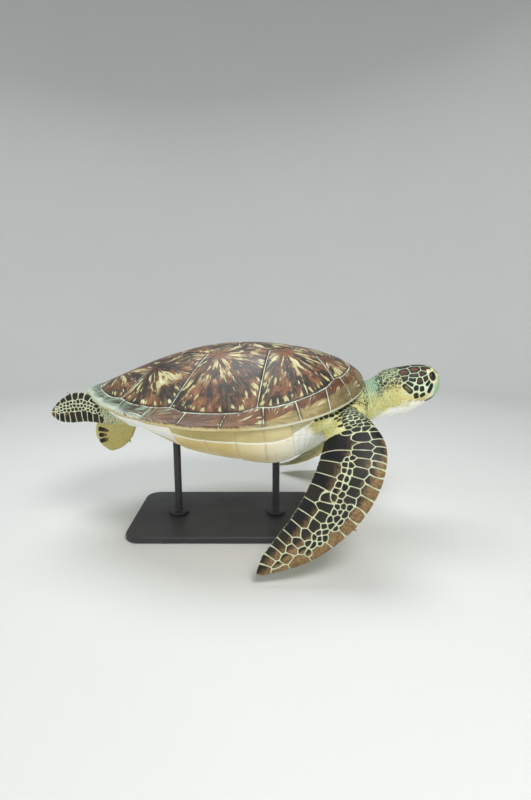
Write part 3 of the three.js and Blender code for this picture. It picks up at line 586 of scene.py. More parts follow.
class Blade:
    """A blade between a leading and a trailing edge, thickest near the leading one."""

    camber = 0.025

    def __init__(self, lead, trail, thickness, dorsal):
        self.lead, self.trail = Curve(lead), Curve(trail)
        self.thickness = profile(*thickness)
        self.dorsal = dorsal

    def half(self, span, chord):
        edge = 0.9 * np.sin(np.pi / 2 * np.minimum(1, chord * 12 + 0.001)) * (chord < 1)
        return self.thickness(span) * np.sqrt(chord) * (1 - chord) ** 0.7 * 1.75 + edge

    def point(self, span, chord, face):
        """A point at a share of the span and chord, on the upper face (1) or the lower (-1)."""
        span, chord, face = np.broadcast_arrays(np.asarray(span, float), np.asarray(chord, float), face)
        shape = span.shape
        span, chord, face = span.ravel(), chord.ravel(), face.ravel()
        front, back = self.lead.point(span), self.trail.point(span)
        along = unit(self.lead.tangent(span) + self.trail.tangent(span))
        across = back - front
        normal = unit(np.cross(along, across)) * self.dorsal
        bend = self.camber * np.linalg.norm(across, axis=1) * np.sin(np.pi * chord)
        offset = face * self.half(span, chord) + bend
        return (front + across * chord[:, None] + normal * offset[:, None]).reshape(*shape, 3)

    def axes(self, span, chord, face, step=0.01):
        """A place, with the directions along and across the blade."""
        place, tipwards, rootwards, behind, before = self.point(
            [span, span + step, span - step, span, span],
            [chord, chord, chord, chord + step, chord - step], face)
        return place, tipwards - rootwards, behind - before

    def rings(self, spans, chords):
        chord = (1 - np.cos(np.pi * np.arange(chords + 1) / chords)) / 2
        chord = np.concatenate([chord, chord[1:-1][::-1]])
        face = np.concatenate([np.ones(chords + 1), -np.ones(chords - 1)])
        return self.point(np.linspace(0, BLADE_END, spans)[:, None], chord[None], face[None])


FRONT_THICKNESS = [(0, 36), (0.14, 30), (0.3, 19), (0.5, 11), (0.75, 6.5), (1, 2.5)]
HIND_THICKNESS = [(0, 22), (0.3, 15), (0.6, 8), (1, 2.5)]
BLADES = {
    "front_right": Blade(
        [(358, -150, 14), (386, -226, 2), (410, -290, -40), (401, -338, -92), (374, -351, -162),
         (322, -360, -232), (222, -370, -304), (100, -378, -338)],
        [(235, -150, -10), (266, -228, -30), (247, -290, -88), (217, -328, -142), (184, -346, -195),
         (141, -360, -250), (109, -370, -292), (94, -378, -334)], FRONT_THICKNESS, -1),
    "front_left": Blade(
        [(352, 150, 12), (380, 232, -4), (410, 318, -92), (408, 392, -175), (376, 438, -249),
         (322, 452, -304), (248, 446, -331), (168, 424, -334)],
        [(235, 150, -10), (264, 228, -36), (286, 256, -95), (298, 282, -155), (286, 317, -213),
         (250, 346, -268), (206, 380, -306), (166, 420, -331)], FRONT_THICKNESS, 1),
    "hind_right": Blade(
        [(-236, -118, 4), (-285, -126, 14), (-335, -120, 34), (-372, -112, 54), (-410, -110, 54),
         (-446, -112, 34), (-472, -113, 2)],
        [(-232, -128, -26), (-282, -134, -28), (-330, -130, -24), (-372, -122, -22), (-414, -117, -26),
         (-450, -114, -22), (-470, -113, -6)], HIND_THICKNESS, 1),
    "hind_left": Blade(
        [(-232, 120, 2), (-268, 138, -26), (-294, 142, -62), (-306, 138, -104), (-322, 132, -142),
         (-352, 128, -170), (-388, 126, -183)],
        [(-262, 118, 4), (-318, 132, -16), (-374, 138, -40), (-420, 136, -72), (-437, 132, -108),
         (-426, 128, -152), (-393, 126, -181)], HIND_THICKNESS, 1),
}
TAIL_NUMBER = len(BLADES) + 1

TAIL_PATH = Curve([(-340, 0, 14), (-370, 0, 12), (-400, 0, 4), (-416, 0, -6)])
TAIL_STEPS, TAIL_SIDES = 30, 32
tail_radius = profile((0, 24), (0.5, 15), (0.85, 7), (1, 2.5))


def tail_rings():
    share = np.linspace(0, 1, TAIL_STEPS)
    radius = tail_radius(share)
    return tube(TAIL_PATH.point(share), [0, 1, 0], [0, 0, 1], radius, 0.8 * radius, TAIL_SIDES)


# ---------- Head ----------

EYE = np.array([594.5, 27.4, 90.0])
EYE_RADII = np.array([11.2, 17.4, 9.2])
EYE_OUT = 4.6
EYE_LEAN, EYE_TURN, EYE_TIP = 27.0, 14.0, 1.0
LID_REACH, LID_HEIGHT, LID_OUT = 10.9, 16.8, 7.4
LID_RADIUS, LID_RADIUS_ADDED_ON_TOP = 2.6, 0.6

# The corner of the mouth to the snout, as x and angle.
MOUTH = [(568, 51), (582, 49), (595, 48), (606, 49), (615, 54), (622, 63)]
NOSTRIL = (622.5, 164)


def eye_frame(hand):
    """Along, out of and up the eye, as the rows of a matrix. Its top leans back."""
    lean = Euler((math.radians(hand * -EYE_TIP), 0, 0)).to_matrix()
    turn = Euler((0, 0, math.radians(hand * -EYE_TURN))).to_matrix()
    tilt = Euler((0, math.radians(-EYE_LEAN), 0)).to_matrix()
    whole = turn @ lean @ tilt
    return np.array([whole @ Vector(axis) for axis in ((1, 0, 0), (0, hand, 0), (0, 0, 1))])


def eye_distance(points, hand):
    """How far points lie from the eye's middle, with the lids at 1, and how far out of it."""
    along, out, up = eye_frame(hand)
    offset = points - EYE * [1, hand, 1]
    return np.hypot(offset @ along / LID_REACH, offset @ up / LID_HEIGHT), offset @ out


def lid_rings(hand, steps=64, sides=14):
    """A soft welt all round the eye."""
    along, out, up = eye_frame(hand)
    cos, sin = np.cos(circle(steps))[:, None], np.sin(circle(steps))[:, None]
    radius = LID_RADIUS + LID_RADIUS_ADDED_ON_TOP * np.clip(sin[:, 0], 0, 1)
    reach = along * (LID_REACH * cos) + up * (LID_HEIGHT * sin)
    bulge = out * (1.6 * np.abs(sin) - 1.2 * np.abs(cos))
    middle = EYE * [1, hand, 1] + out * LID_OUT + reach + bulge
    return tube(middle, along * cos + up * sin, out, radius, radius, sides)


def mouth_path(count=90):
    right = [body_point(x, -angle) for x, angle in MOUTH]
    left = [body_point(x, angle) for x, angle in MOUTH][::-1]
    front = np.array([SNOUT_X, 0, body_point(SNOUT_X, 70)[2]])
    return Curve([*right, front, *left]).point(np.linspace(0, 1, count))


# Shields of the head: x, angle, half length and half height, turn, darkness, warmth (below 0 for olive).
HEAD_SHIELDS = [
    (612, 162, 8, 8, 0, 0.55, 0.5), (598, 180, 9, 9, 0, 0.8, 0.5), (578, 152, 12, 8, 0, 1, 0.6),
    (566, 180, 17, 13, 0, 1, 0.7), (545, 151, 14, 10, 0, 1, 0.8), (508, 180, 22, 13, 0, 1, 0.5),
    (514, 145, 16, 9, 12, 1, 0.75), (566, 132.5, 9, 8, 0, 1, 0.4), (543, 129.5, 11, 5.5, 0, 1, 0.2),
    (537, 118.5, 10.5, 5, -14, 1, 0), (513, 124, 10, 7, -8, 1, 0), (557, 112, 8.5, 8.5, 0, 1, 0.4),
    (575, 117, 8, 8, 0, 1, 0.2), (583.5, 104.5, 10.5, 5, 48, 1, 0), (590.5, 88.5, 12.5, 6.2, 60, 1, 0),
    (529, 109, 11, 4.6, -38, 1, 0), (523, 97.5, 14.5, 6.6, -46, 1, -0.9), (547, 96.5, 6.6, 7, 0, 1, 0),
    (563.5, 92.5, 6.6, 7, 0, 1, 0), (548.5, 79.5, 6.4, 7.6, 6, 1, 0), (567, 76.5, 7.4, 5.6, 14, 1, 0),
    (532.5, 71, 5.5, 2.6, 0, 0.3, 0), (551.5, 66, 7, 2.6, 6, 0.35, 0), (569, 60, 7.5, 2.6, 8, 0.3, 0),
    (594.5, 43, 15, 5.2, -11, 0.9, 0),
]


# ---------- Scales ----------

class Scales:
    """Seeds of the scales of one side of one part, and what each point gets from them."""

    def __init__(self):
        self.rows = []

    def add(self, at, first, second, ra, rb, dark=1.0, warm=0.0, seam=1.5, limit=1.32):
        """One scale: its place, its two directions and half sizes, its colour and how far it reaches."""
        self.rows.append(np.concatenate([at, first, second, [ra, rb, dark, warm, seam, rng.random(), limit]]))

    def read(self, points, power=2.0, chunk=4000):
        """Per point: distance to the seam, and the nearest scale's values and place in it."""
        seeds = np.array(self.rows)
        at, first, second = seeds[:, :3], unit(seeds[:, 3:6]), seeds[:, 6:9]
        second = unit(second - first * (second * first).sum(-1, keepdims=True))
        third = np.cross(first, second)
        ra, rb, limit = seeds[:, 9], seeds[:, 10], seeds[:, 15]
        edge = np.empty(len(points))
        near = np.empty(len(points), int)
        local = np.empty((len(points), 2))
        for start in range(0, len(points), chunk):
            rows = slice(start, start + chunk)
            offset = points[rows, None] - at
            a = (offset * first).sum(-1) / ra
            b = (offset * second).sum(-1) / rb
            c = (offset * third).sum(-1) / ((ra + rb) / 2)
            reach = (np.abs(a) ** power + np.abs(b) ** power + np.abs(c) ** power) ** (1 / power)
            one, two = np.argpartition(reach, 1, axis=1)[:, :2].T
            pick = np.arange(len(reach))
            length = np.linalg.norm(offset, axis=-1)
            d1, d2 = reach[pick, one], reach[pick, two]
            slope1 = d1 / np.maximum(length[pick, one], 1e-6)
            slope2 = d2 / np.maximum(length[pick, two], 1e-6)
            between = (d2 - d1) / np.maximum(slope1 + slope2, 1e-6)
            outer = (limit[one] - d1) / np.maximum(slope1, 1e-6)
            edge[rows] = np.minimum(between, outer)
            near[rows] = one
            local[rows] = np.stack([a[pick, one], b[pick, one]], -1)
        return edge, seeds[near, 11:15], local


def blade_scales(blade, face, layout, blotched, ground):
    """Seeds on one face of a flipper, from rows of (span, chord, half along, half across, dark, warm).

    Those near the root are put on the skin itself, because it is smoothed there.
    """
    scales = Scales()
    for span, chord, along, across, dark, warm in layout:
        at, first, second = blade.axes(span, chord, face)
        if span < 0.26:
            at = ground[np.argmin(((ground - at) ** 2).sum(1))]
        small = along < 5
        seam, limit = 0.8 if small else 1.15, 1.7 if small else 3.0
        if face < 0:
            along, across = along * 0.8, across * 0.62
            seam, limit = 1.8, 1.7
            far = float(smooth(span, 0.5, 1.0)) * lerp(0.5, 1.0, float(smooth(chord, 0.4, 0.8)))
            if blotched:
                far = 1.3 * float(smooth(chord, 0.6, 0.78) * smooth(span, 0.4, 0.56))
            dark = min(1.0, dark * (0.1 + 0.75 * far * (rng.random() > 0.3)))
            warm = 0.5 * warm + 0.25
        scales.add(at, first, second, along, across, dark, warm, seam, limit)
    return scales


def row(spans, chords, along, across, warm, wander):
    """One row of a layout. Sizes and warmth may be a number or a pair for the first and last scale."""
    count = len(spans)
    chords = np.interp(np.linspace(0, 1, count), np.linspace(0, 1, len(chords)), chords)
    ranges = [np.linspace(*(value if isinstance(value, tuple) else (value, value)), count)
              for value in (along, across, warm)]
    scales = []
    for span, chord, a, b, w in zip(spans, chords, *ranges):
        push = rng.uniform(-wander, wander, 2)
        size = rng.uniform(0.88, 1.12, 2)
        scales.append((span + push[0] * 0.02, float(np.clip(chord + push[1] * 0.06, 0.03, 0.97)),
                       a * size[0], b * size[1], 1.0, float(np.clip(w + rng.uniform(-0.15, 0.15), 0, 1))))
    return scales


# Rows of scales: spans, chords, half along, half across, warmth, wander. On the front flipper one of broad
# scales behind, two inside it, one of middling ones before, one along the leading edge and one at the root.
FRONT_ROWS = [
    ([0.235, 0.285, 0.345, 0.4, 0.455, 0.53, 0.6, 0.66, 0.715, 0.765, 0.82, 0.88, 0.945],
     [0.74, 0.7, 0.77, 0.81, 0.86, 0.87, 0.85, 0.87, 0.88, 0.88, 0.84, 0.8, 0.6],
     (17, 13), (34, 13), (0.1, 0.45), 0.15),
    ([0.495, 0.55, 0.6, 0.65, 0.7, 0.745, 0.79], [0.7, 0.64, 0.6, 0.61, 0.62, 0.64, 0.64],
     (14, 12), (19, 12), (0.12, 0.4), 0.2),
    ([0.84, 0.9], [0.55, 0.5], 14, 9, 0.7, 0.1),
    ([0.24, 0.28, 0.32, 0.36, 0.4, 0.445, 0.49, 0.53], [0.34, 0.33, 0.34, 0.36, 0.38, 0.38, 0.36],
     (8, 11), (22, 15), (0, 0.15), 0.2),
    ([0.24, 0.28, 0.32, 0.355, 0.39, 0.425, 0.465, 0.51, 0.56, 0.615, 0.67, 0.725, 0.79, 0.86, 0.93],
     [0.08, 0.08, 0.09, 0.1, 0.11, 0.11, 0.12, 0.14, 0.16, 0.17, 0.18, 0.2, 0.2, 0.2, 0.2],
     (8, 20), (13, 13), (0.25, 1.0), 0.1),
    ([0.205, 0.2, 0.198, 0.196], [0.08, 0.2, 0.36, 0.56], 5.4, 10, 0, 0.1),
    *[(np.linspace(start, end, count), [chord], 8.5, 8.0, (0, 0.3), 0.3)
      for chord, start, end, count in ((0.47, 0.33, 0.79, 15), (0.57, 0.32, 0.5, 7), (0.385, 0.56, 0.76, 7),
                                       (0.3, 0.57, 0.8, 7))],
]
HIND_ROWS = [
    (np.linspace(0.3, 0.93, 10), [0.74, 0.78, 0.78, 0.76, 0.7], (13, 10), (20, 15), (0, 0.45), 0.15),
    (np.linspace(0.4, 0.93, 8), [0.12, 0.12, 0.14], (14, 12), (11, 11), (0, 0.2), 0.15),
    *[(np.linspace(start, end, count), [chord], 6.5, 6.5, (0, 0.2), 0.5)
      for chord, start, end, count in ((0.3, 0.36, 0.9, 13), (0.42, 0.33, 0.88, 14), (0.53, 0.32, 0.84, 12))],
]


def front_layout():
    """The front flipper's rows, and small scales on its root that are dense and dark before its middle."""
    scales = [scale for values in FRONT_ROWS for scale in row(*values)]
    span = 0.02
    while span < 0.19:
        strength = float(smooth(span, -0.02, 0.12))
        count = round(lerp(20, 9, strength))
        for chord in np.linspace(0.03, 0.97, count) + (0.45 / count) * rng.random():
            chance = lerp(0.8, 1.0, strength) * (1 - smooth(chord, 0.5, 0.72))
            dark = 1.0 if rng.random() < chance else 0.15 * (chord < 0.6)
            size = lerp(0.75, 1.5, strength) * rng.uniform(0.8, 1.2)
            scales.append((span + rng.uniform(-0.003, 0.003),
                           float(np.clip(chord + rng.uniform(-0.012, 0.012), 0.02, 0.975)),
                           3.0 * size, lerp(5, 7.4, strength) * size, float(dark), 0.0))
        span += lerp(0.0085, 0.0165, strength)
    return scales


def hind_layout():
    """The hind flipper's rows, and small scales on its root that darken outwards."""
    scales = [scale for values in HIND_ROWS for scale in row(*values)]
    for span in np.linspace(0.08, 0.29, 9):
        for chord in np.linspace(0.06, 0.94, 9) + 0.05 * rng.random():
            scales.append((span + rng.uniform(-0.008, 0.008), chord + rng.uniform(-0.02, 0.02), 3.4, 4.6,
                           float(smooth(span, 0.04, 0.24)) * rng.uniform(0.4, 1), 0.0))
    return scales


def put_on_head(scales, x, angle, ra, rb, turn, *values):
    """Adds a scale at x and angle, turned by some degrees from the body's length."""
    ahead, upward = (unit(axis) for axis in body_axes(x, angle, math.copysign(1, angle)))
    cos, sin = math.cos(math.radians(turn)), math.sin(math.radians(turn))
    scales.add(body_point(x, angle), ahead * cos + upward * sin, upward * cos - ahead * sin, ra, rb, *values)


def head_scales():
    """The head's shields, and small scales of uneven size on the upper neck behind them."""
    scales = Scales()
    for hand in HANDS:
        for x, angle, ra, rb, turn, dark, warm in HEAD_SHIELDS:
            if angle == 180 and hand < 0:
                continue
            high = float(smooth(angle, 112, 126))
            put_on_head(scales, x, hand * angle, ra, rb, turn, dark, warm, lerp(1.35, 0.95, high),
                        lerp(1.36, 1.62, high))
        for column, x in enumerate(np.arange(432, 508, 8.6)):
            for angle in np.arange(60, 178, 9.0):
                at = angle + 4.5 * (column % 2) + rng.uniform(-3.6, 3.6)
                if x + 0.12 * (angle - 100) > 504 or at > 178:
                    continue
                upper = float(smooth(at, 84, 124) * smooth(x, 428, 446))
                dark = upper * (0.7 + 0.3 * rng.random()) if rng.random() < 0.25 + upper else 0.25 * upper
                size = lerp(0.6, 1.25, upper) * rng.uniform(0.62, 1.45)
                put_on_head(scales, x + rng.uniform(-3.2, 3.2), hand * at, 4.8 * size, 3.9 * size,
                            rng.uniform(-50, 50), dark, 0.0, 0.72, 1.25)
    return scales


def spread(points, spacing):
    """One of the points in each cell of a 3-D grid."""
    points = points[rng.permutation(len(points))]
    _, first = np.unique(np.floor(points / spacing), axis=0, return_index=True)
    return points[first]


def shoulder_scales(snap, hand, ground):
    """Soft folded polygons behind the shoulder and, on the ground given, dark ones before it."""
    scales = Scales()
    for column, x in enumerate(np.arange(180, 400, 15.0)):
        for angle in np.arange(22, 172, 9.0):
            at = angle + 4.5 * (column % 2) + rng.uniform(-2, 2)
            point = body_point(x + rng.uniform(-4, 4), hand * at)
            if x < 315 or at < 53:
                scales.add(snap(point), *body_axes(x, hand * at, hand), 8, 12, 0.0, 0.0, 0.8, 2.6)
    for place in spread(ground, 7.4):
        dark = float(smooth(place[0], 300, 335)) * (1.0 if rng.random() > 0.2 else 0.2)
        size = rng.uniform(0.8, 1.3)
        scales.add(place, [1, 0, 0], [0, 0, 1], 4.4 * size, 5.2 * size, dark, 0.0, 0.75, 1.5)
    return scales


def rim_row(snap, hand):
    """A row of dark scales on the skin along the front of the shell."""
    share, drop = 0.968, 19
    scales = Scales()
    for angle in np.arange(15, 51, 2.7):
        ahead = shell_point(hand * (angle + 1), share) - shell_point(hand * (angle - 1), share)
        place = snap(np.append(shell_point(hand * angle, share), margin_height(angle) - drop))
        size = rng.uniform(0.8, 1.15)
        scales.add(place, [*ahead, 0.3], [0, 0.2, 1], 6.6 * size, 4.2 * size, 1.0, 0.1, 0.7, 1.3)
    return scales


# ---------- Skin ----------

VOXEL = 1.9 * MM
LEAST_PULL = 0.004
FOLD_SPACING, FOLD_DEPTH = 7.2, 2.6
CREASE_SPACING, CREASE_DEPTH = 9.0, 0.8
MOUTH_DEPTH, LIP_HEIGHT, NOSTRIL_DEPTH, NOSTRIL_RIM = 2.6, 0.7, 2.8, 0.5
LID_FOLD_HEIGHT, EYE_SOCKET_DEPTH = 0.35, 6
FAR_FROM_MOUTH, NO_BRIDGE = 20.0, -50

# Balls that fill out shoulders and hips on both sides: centre and radii.
ROOT_MUSCLES = [
    ((300, 172, -8), (58, 56, 34)), ((352, 118, -2), (46, 52, 40)), ((-232, 112, -12), (52, 42, 26))]


def waves(points, size, seed, count=7):
    """A smooth random value about -1 to 1, with bumps of about that size."""
    own = np.random.default_rng(seed)
    total = np.zeros(len(points))
    for _ in range(count):
        direction = unit(own.normal(size=3))
        pace = 2 * np.pi / (size * own.uniform(0.7, 1.5))
        total += np.sin(points @ direction * pace + own.uniform(0, 6.3))
    return total / math.sqrt(count)


def relax(points, edges, weight, rounds):
    """Draws each point that has a weight towards the mean of its neighbours."""
    near = edges[(weight[edges] > LEAST_PULL).any(1)]
    used, local = np.unique(near, return_inverse=True)
    a, b = local.reshape(near.shape).T
    count = len(used)
    moved, pull = points[used], np.where(weight[used] > LEAST_PULL, weight[used], 0)[:, None]
    degree = np.bincount(a, minlength=count) + np.bincount(b, minlength=count)
    for _ in range(rounds):
        mean = np.stack([np.bincount(a, moved[b, k], count) + np.bincount(b, moved[a, k], count)
                         for k in range(3)], -1) / degree[:, None]
        moved = moved + (mean - moved) * pull
    points = points.copy()
    points[used] = moved
    return points


def skin_source():
    """Every form of the flesh as closed bodies that run into each other."""
    x = np.concatenate([np.arange(BODY_REAR, 400, 6.0), np.arange(400, 612, 3.0),
                        np.arange(612, SNOUT_X + 0.1, 1.4)])
    lofts = [body_point(x[:, None], np.arange(0, 360, 2.5)[None])]
    lofts += [blade.rings(130 if "front" in name else 80, 44) for name, blade in BLADES.items()]
    lofts.append(tail_rings())
    for hand in HANDS:
        lofts += [ball_rings((x, hand * y, z), radii) for (x, y, z), radii in ROOT_MUSCLES]
    bodies = [closed_loft(rings) for rings in lofts]
    for rings in map(lid_rings, HANDS):
        faces = grid_faces(*rings.shape[:2], around=True, looped=True)
        bodies.append(facing_out(rings.reshape(-1, 3), faces))
    starts = np.cumsum([0, *[len(points) for points, _ in bodies]])
    points = np.concatenate([points for points, _ in bodies])
    return points, np.concatenate([faces + start for (_, faces), start in zip(bodies, starts)])


def fused_flesh():
    """One mesh round all forms of the flesh."""
    source = new_object("skin_source", *skin_source())
    remesh = source.modifiers.new("fuse", "REMESH")
    remesh.mode = "VOXEL"
    remesh.voxel_size = VOXEL
    remesh.use_smooth_shade = True
    graph = bpy.context.evaluated_depsgraph_get()
    mesh = bpy.data.meshes.new_from_object(source.evaluated_get(graph))
    bpy.data.objects.remove(source)
    mesh.name = "skin"
    return mesh


def part_samples():
    """Points of the body (part 0), flippers (1 to 4) and tail, with part, two coordinates and face."""
    x, angle = np.meshgrid(np.arange(BODY_REAR, SNOUT_X + 0.1, 5.0), np.arange(-180, 180, 4.0), indexing="ij")
    span, chord = np.meshgrid(np.linspace(0, BLADE_END, 130), np.linspace(0.0, 1.0, 40), indexing="ij")
    share = np.repeat(np.linspace(0, 1, TAIL_STEPS), TAIL_SIDES)
    grids = [(body_point(x, angle), 0, x, angle, 0)]
    for number, blade in enumerate(BLADES.values(), start=1):
        grids += [(blade.point(span, chord, face), number, span, chord, face) for face in (1.0, -1.0)]
    grids.append((tail_rings(), TAIL_NUMBER, share, 0, 0))
    rows = []
    for points, part, u, v, face in grids:
        values = np.broadcast_arrays(part, np.ravel(u), np.ravel(v), face)
        rows.append(np.column_stack([points.reshape(-1, 3), *values]))
    return np.concatenate(rows)


class Skin:
    """The points of the skin, where each lies on the body, and what its finish will read.

    On part 0, u and v are x and the angle, and on a flipper the span and the chord. The edge is the
    distance to a scale's seam. The tone holds a scale's darkness, warmth and half seam, and local holds a
    point's place in its scale, with a random value for the scale.
    """

    def __init__(self, mesh):
        self.mesh = mesh
        self.points = fetch(mesh.vertices, "co", 3).astype(float) / MM - [0, 0, BODY_HEIGHT]
        count = len(self.points)
        self.find_parts()
        self.join = self.near_joins()
        edges = fetch(mesh.edges, "vertices", 2, np.int32)
        self.points = relax(self.points, edges, np.full(count, 0.5), 2)
        self.points = relax(self.points, edges, 0.6 * self.join, 60)
        place_vertices(mesh, self.points)
        mesh.update()
        self.normals = fetch(mesh.vertex_normals, "vector", 3).astype(float)
        self.x, y, z = self.points.T
        self.angle = np.abs(np.degrees(np.arctan2(y, body_side(self.x) - z)))
        self.edge = np.full(count, 20.0)
        self.tone = np.tile([0.0, 0.0, 1.0], (count, 1))
        self.local = np.zeros((count, 3))
        self.height = np.zeros(count)

    def find_parts(self):
        """Takes each point's part and coordinates from the nearest sample."""
        samples = part_samples()
        tree = KDTree(len(samples))
        for i, place in enumerate(samples[:, :3]):
            tree.insert(place, i)
        tree.balance()
        nearest = [tree.find(point)[1] for point in self.points]
        self.part, self.u, self.v, self.face = samples[nearest, 3:].T.copy()
        self.body = self.part == 0
        self.front_blade = (self.part == 1) | (self.part == 2)

    def near_joins(self):
        """From 0 to 1 where flippers run into the body, and a little round the eyelids."""
        on_blade = (self.part > 0) & (self.part < TAIL_NUMBER)
        join = np.where(on_blade, 1 - smooth(self.u, 0.06, 0.24), 0)
        for blade in BLADES.values():
            gap = np.linalg.norm(self.points - blade.point([0.06], [0.5], 0.0)[0], axis=1)
            join = np.maximum(join, (1 - smooth(gap, 50, 130)) * self.body)
        for hand in HANDS:
            gap = np.linalg.norm((self.points - [345, hand * 120, -6]) / [1, 1, 0.8], axis=1)
            join = np.maximum(join, 1 - smooth(gap, 70, 115))
            gap, out = eye_distance(self.points, hand)
            around = smooth(gap, 1.1, 1.25) * (1 - smooth(gap, 1.7, 2.1)) * (out > -12)
            join = np.maximum(join, 0.35 * around)
        return join

    def snap(self, place):
        """The point of the skin nearest to a place."""
        return self.points[np.argmin(((self.points - place) ** 2).sum(1))]

    def dress(self, mask, scales, rise=0.0, slope=1.0, power=2.0, least=-np.inf):
        """Lays scales on the points of a mask, where they reach further in than the least edge."""
        take = np.where(mask)[0]
        gap, values, place = scales.read(self.points[take], power)
        take, gap, values, place = (rows[gap > least] for rows in (take, gap, values, place))
        self.edge[take] = gap
        self.tone[take] = values[:, :3]
        self.local[take] = np.column_stack([place, values[:, 3]])
        self.height[take] += rise * smooth(gap, 0, slope)

    def lay_scales(self):
        x, y, z = self.points.T
        self.dress(self.body & (x > 425), head_scales(), 1.0, 2.4, power=3.0)
        shoulder = self.body & (x > 170) & (x < 405) | self.front_blade & (self.u < 0.035)
        for hand in HANDS:
            mine = shoulder & (y * hand > 0)
            ground = self.points[mine & (x > 308) & (self.angle > 50)]
            self.dress(mine, shoulder_scales(self.snap, hand, ground), 1.3, 3.0)
        layouts = {"front": front_layout(), "hind": hind_layout()}
        for number, (name, blade) in enumerate(BLADES.items(), start=1):
            pair = name.split("_")[0]
            mine = self.part == number
            for face in (1, -1):
                mask = mine & (self.face == face)
                ground = self.points[mask & (self.u < 0.32)]
                self.dress(mask, blade_scales(blade, face, layouts[pair], pair == "hind", ground), 1.0, 2.0)
            for line in (blade.lead, blade.trail):
                path = line.point(np.linspace(0.1, BLADE_END, 120))
                gap = distance_to(self.points[mine], path[:-1], path[1:])
                self.edge[mine] = np.minimum(self.edge[mine], gap * 0.8 + 0.5)
        for hand in HANDS:
            under_rim = (x > 190) & (x < 400) & (y * hand > 90) & (z > -40)
            self.dress(under_rim, rim_row(self.snap, hand), least=-0.6)
        self.height *= 1 - 0.8 * self.join

    def fold_neck(self):
        """Folds round the neck, and finer creases along the throat."""
        x, angle = self.x, self.angle
        warp = waves(self.points, 52, 3) * 3.6 + waves(self.points, 15, 4) * 1.1
        self.neck = self.body * smooth(x, 386, 400) * (1 - smooth(x, 436, 470))
        self.folds = np.abs(np.sin(np.pi * (x + warp + 0.05 * (angle - 90)) / FOLD_SPACING)) ** 0.8
        self.height += self.neck * (0.4 + 0.6 * smooth(angle, 60, 110)) * (self.folds - 1.0) * FOLD_DEPTH
        throat = self.body * smooth(x, 440, 470) * (1 - smooth(x, 575, 600)) * (1 - smooth(angle, 40, 66))
        across = 0.5 * np.abs(self.points[:, 1])
        creases = np.abs(np.sin(np.pi * (x * 0.55 + across + warp) / CREASE_SPACING))
        self.height += throat * (creases**0.6 - 1.0) * CREASE_DEPTH

    def carve_mouth(self):
        """The mouth line under a raised lip, and nostrils with a rim."""
        path = mouth_path()
        front = self.body & (self.x > 560)
        self.mouth = np.full(len(self.points), FAR_FROM_MOUTH)
        self.mouth[front] = distance_to(self.points[front], path[:-1], path[1:])
        self.height -= MOUTH_DEPTH * (1 - smooth(self.mouth, 0.4, 2.6))
        lip = (1 - smooth(np.abs(self.mouth - 4.2), 0, 2.6)) * (self.angle > 48) * (self.x > 566) * self.body
        self.height += LIP_HEIGHT * lip
        for hand in HANDS:
            pit = np.linalg.norm(self.points - body_point(NOSTRIL[0], hand * NOSTRIL[1]), axis=1)
            self.height -= NOSTRIL_DEPTH * (1 - smooth(pit, 0.8, 3.0))
            self.height += NOSTRIL_RIM * (1 - smooth(np.abs(pit - 4.0), 0, 1.8)) * self.body

    def carve_eyes(self):
        """Folded lids without scales, round a socket."""
        eye = np.full(len(self.points), 99.0)
        for hand in HANDS:
            gap, out = eye_distance(self.points, hand)
            eye = np.minimum(eye, np.where(out > -4, gap, 9))
        self.lids = self.body * (self.x > 560) * (1 - smooth(eye, 1.28, 1.42))
        self.tone[:, 0] *= 1 - self.lids
        self.edge = np.where(self.lids > 0.5, 8, self.edge)
        folds = np.sin(eye * 26) * self.lids * smooth(eye, 1.05, 1.2)
        self.height = self.height * (1 - self.lids) + LID_FOLD_HEIGHT * folds
        self.height -= EYE_SOCKET_DEPTH * (1 - smooth(eye, 0.72, 0.92))

    def shape_beak(self):
        """Smooth horn without scales at the front of the jaws."""
        wander = 3 * waves(self.points, 26, 12)
        low = 1 - smooth(self.points[:, 2] + wander, 80, 94)
        self.beak = self.body * smooth(self.x + wander, 596, 612) * low * (1 - self.lids)
        self.tone[:, 0] *= 1 - self.beak * (self.angle > 40)
        self.height *= 1 - 0.6 * self.beak * (self.mouth > 3)

    def raise_surface(self):
        self.points = self.points + self.normals * self.height[:, None]
        place_vertices(self.mesh, self.points)
        self.mesh.update()

    def pale_zone(self):
        """The white underside of head, neck and chest, and of the shoulders."""
        border = lerp(51, 58, smooth(self.x, 430, 560)) + 5 * waves(self.points, 30, 9)
        below = self.body * (1 - smooth(self.angle, border - 12, border + 12))
        level = lerp(14, -38, smooth(self.x, 195, 262)) + 4 * waves(self.points, 40, 10)
        near = self.body + self.front_blade * (1 - smooth(self.u, 0.05, 0.15))
        low = 1 - smooth(self.points[:, 2], level - 18, level + 18)
        return np.maximum(below, near * (self.x < 376) * low)

    def write_marks(self):
        """Hands the finish what it reads at each point."""
        ventral = (self.face < 0) * (self.part > 0)
        upper = smooth(self.angle, 66, 128)
        # Painted shade in the troughs of the neck's folds, stronger on top, and a painted teal cast of light
        # washed over the whole top of the neck.
        neck_crease_shade = (1 - self.folds) * (0.3 + 0.7 * upper) * (0.7 + 0.3 * waves(self.points, 30, 21))
        over_fold = self.points[:, 2] - bridge_height(self.x) - 60 * smooth(self.x, 238, 264)
        on_bridge = self.body & (self.x > 150) & (self.x < 264) & (self.angle > 45)
        limb = self.part > 0
        set_attributes(
            self.mesh, edge=self.edge, tone=self.tone, local=self.local,
            zone=np.stack([self.pale_zone(), self.beak, ventral], -1),
            # Painted shade of the neck's folds, then the lids.
            fold=np.stack([self.neck * (neck_crease_shade + 0.2 * upper), self.lids,
                           # Painted shade along the groove of the mouth.
                           np.clip(1 - self.mouth / 2.4, 0, 1)], -1),
            place=np.stack([self.u * limb, self.v * limb, self.part / TAIL_NUMBER], -1),
            bridge=np.where(on_bridge, over_fold, NO_BRIDGE))


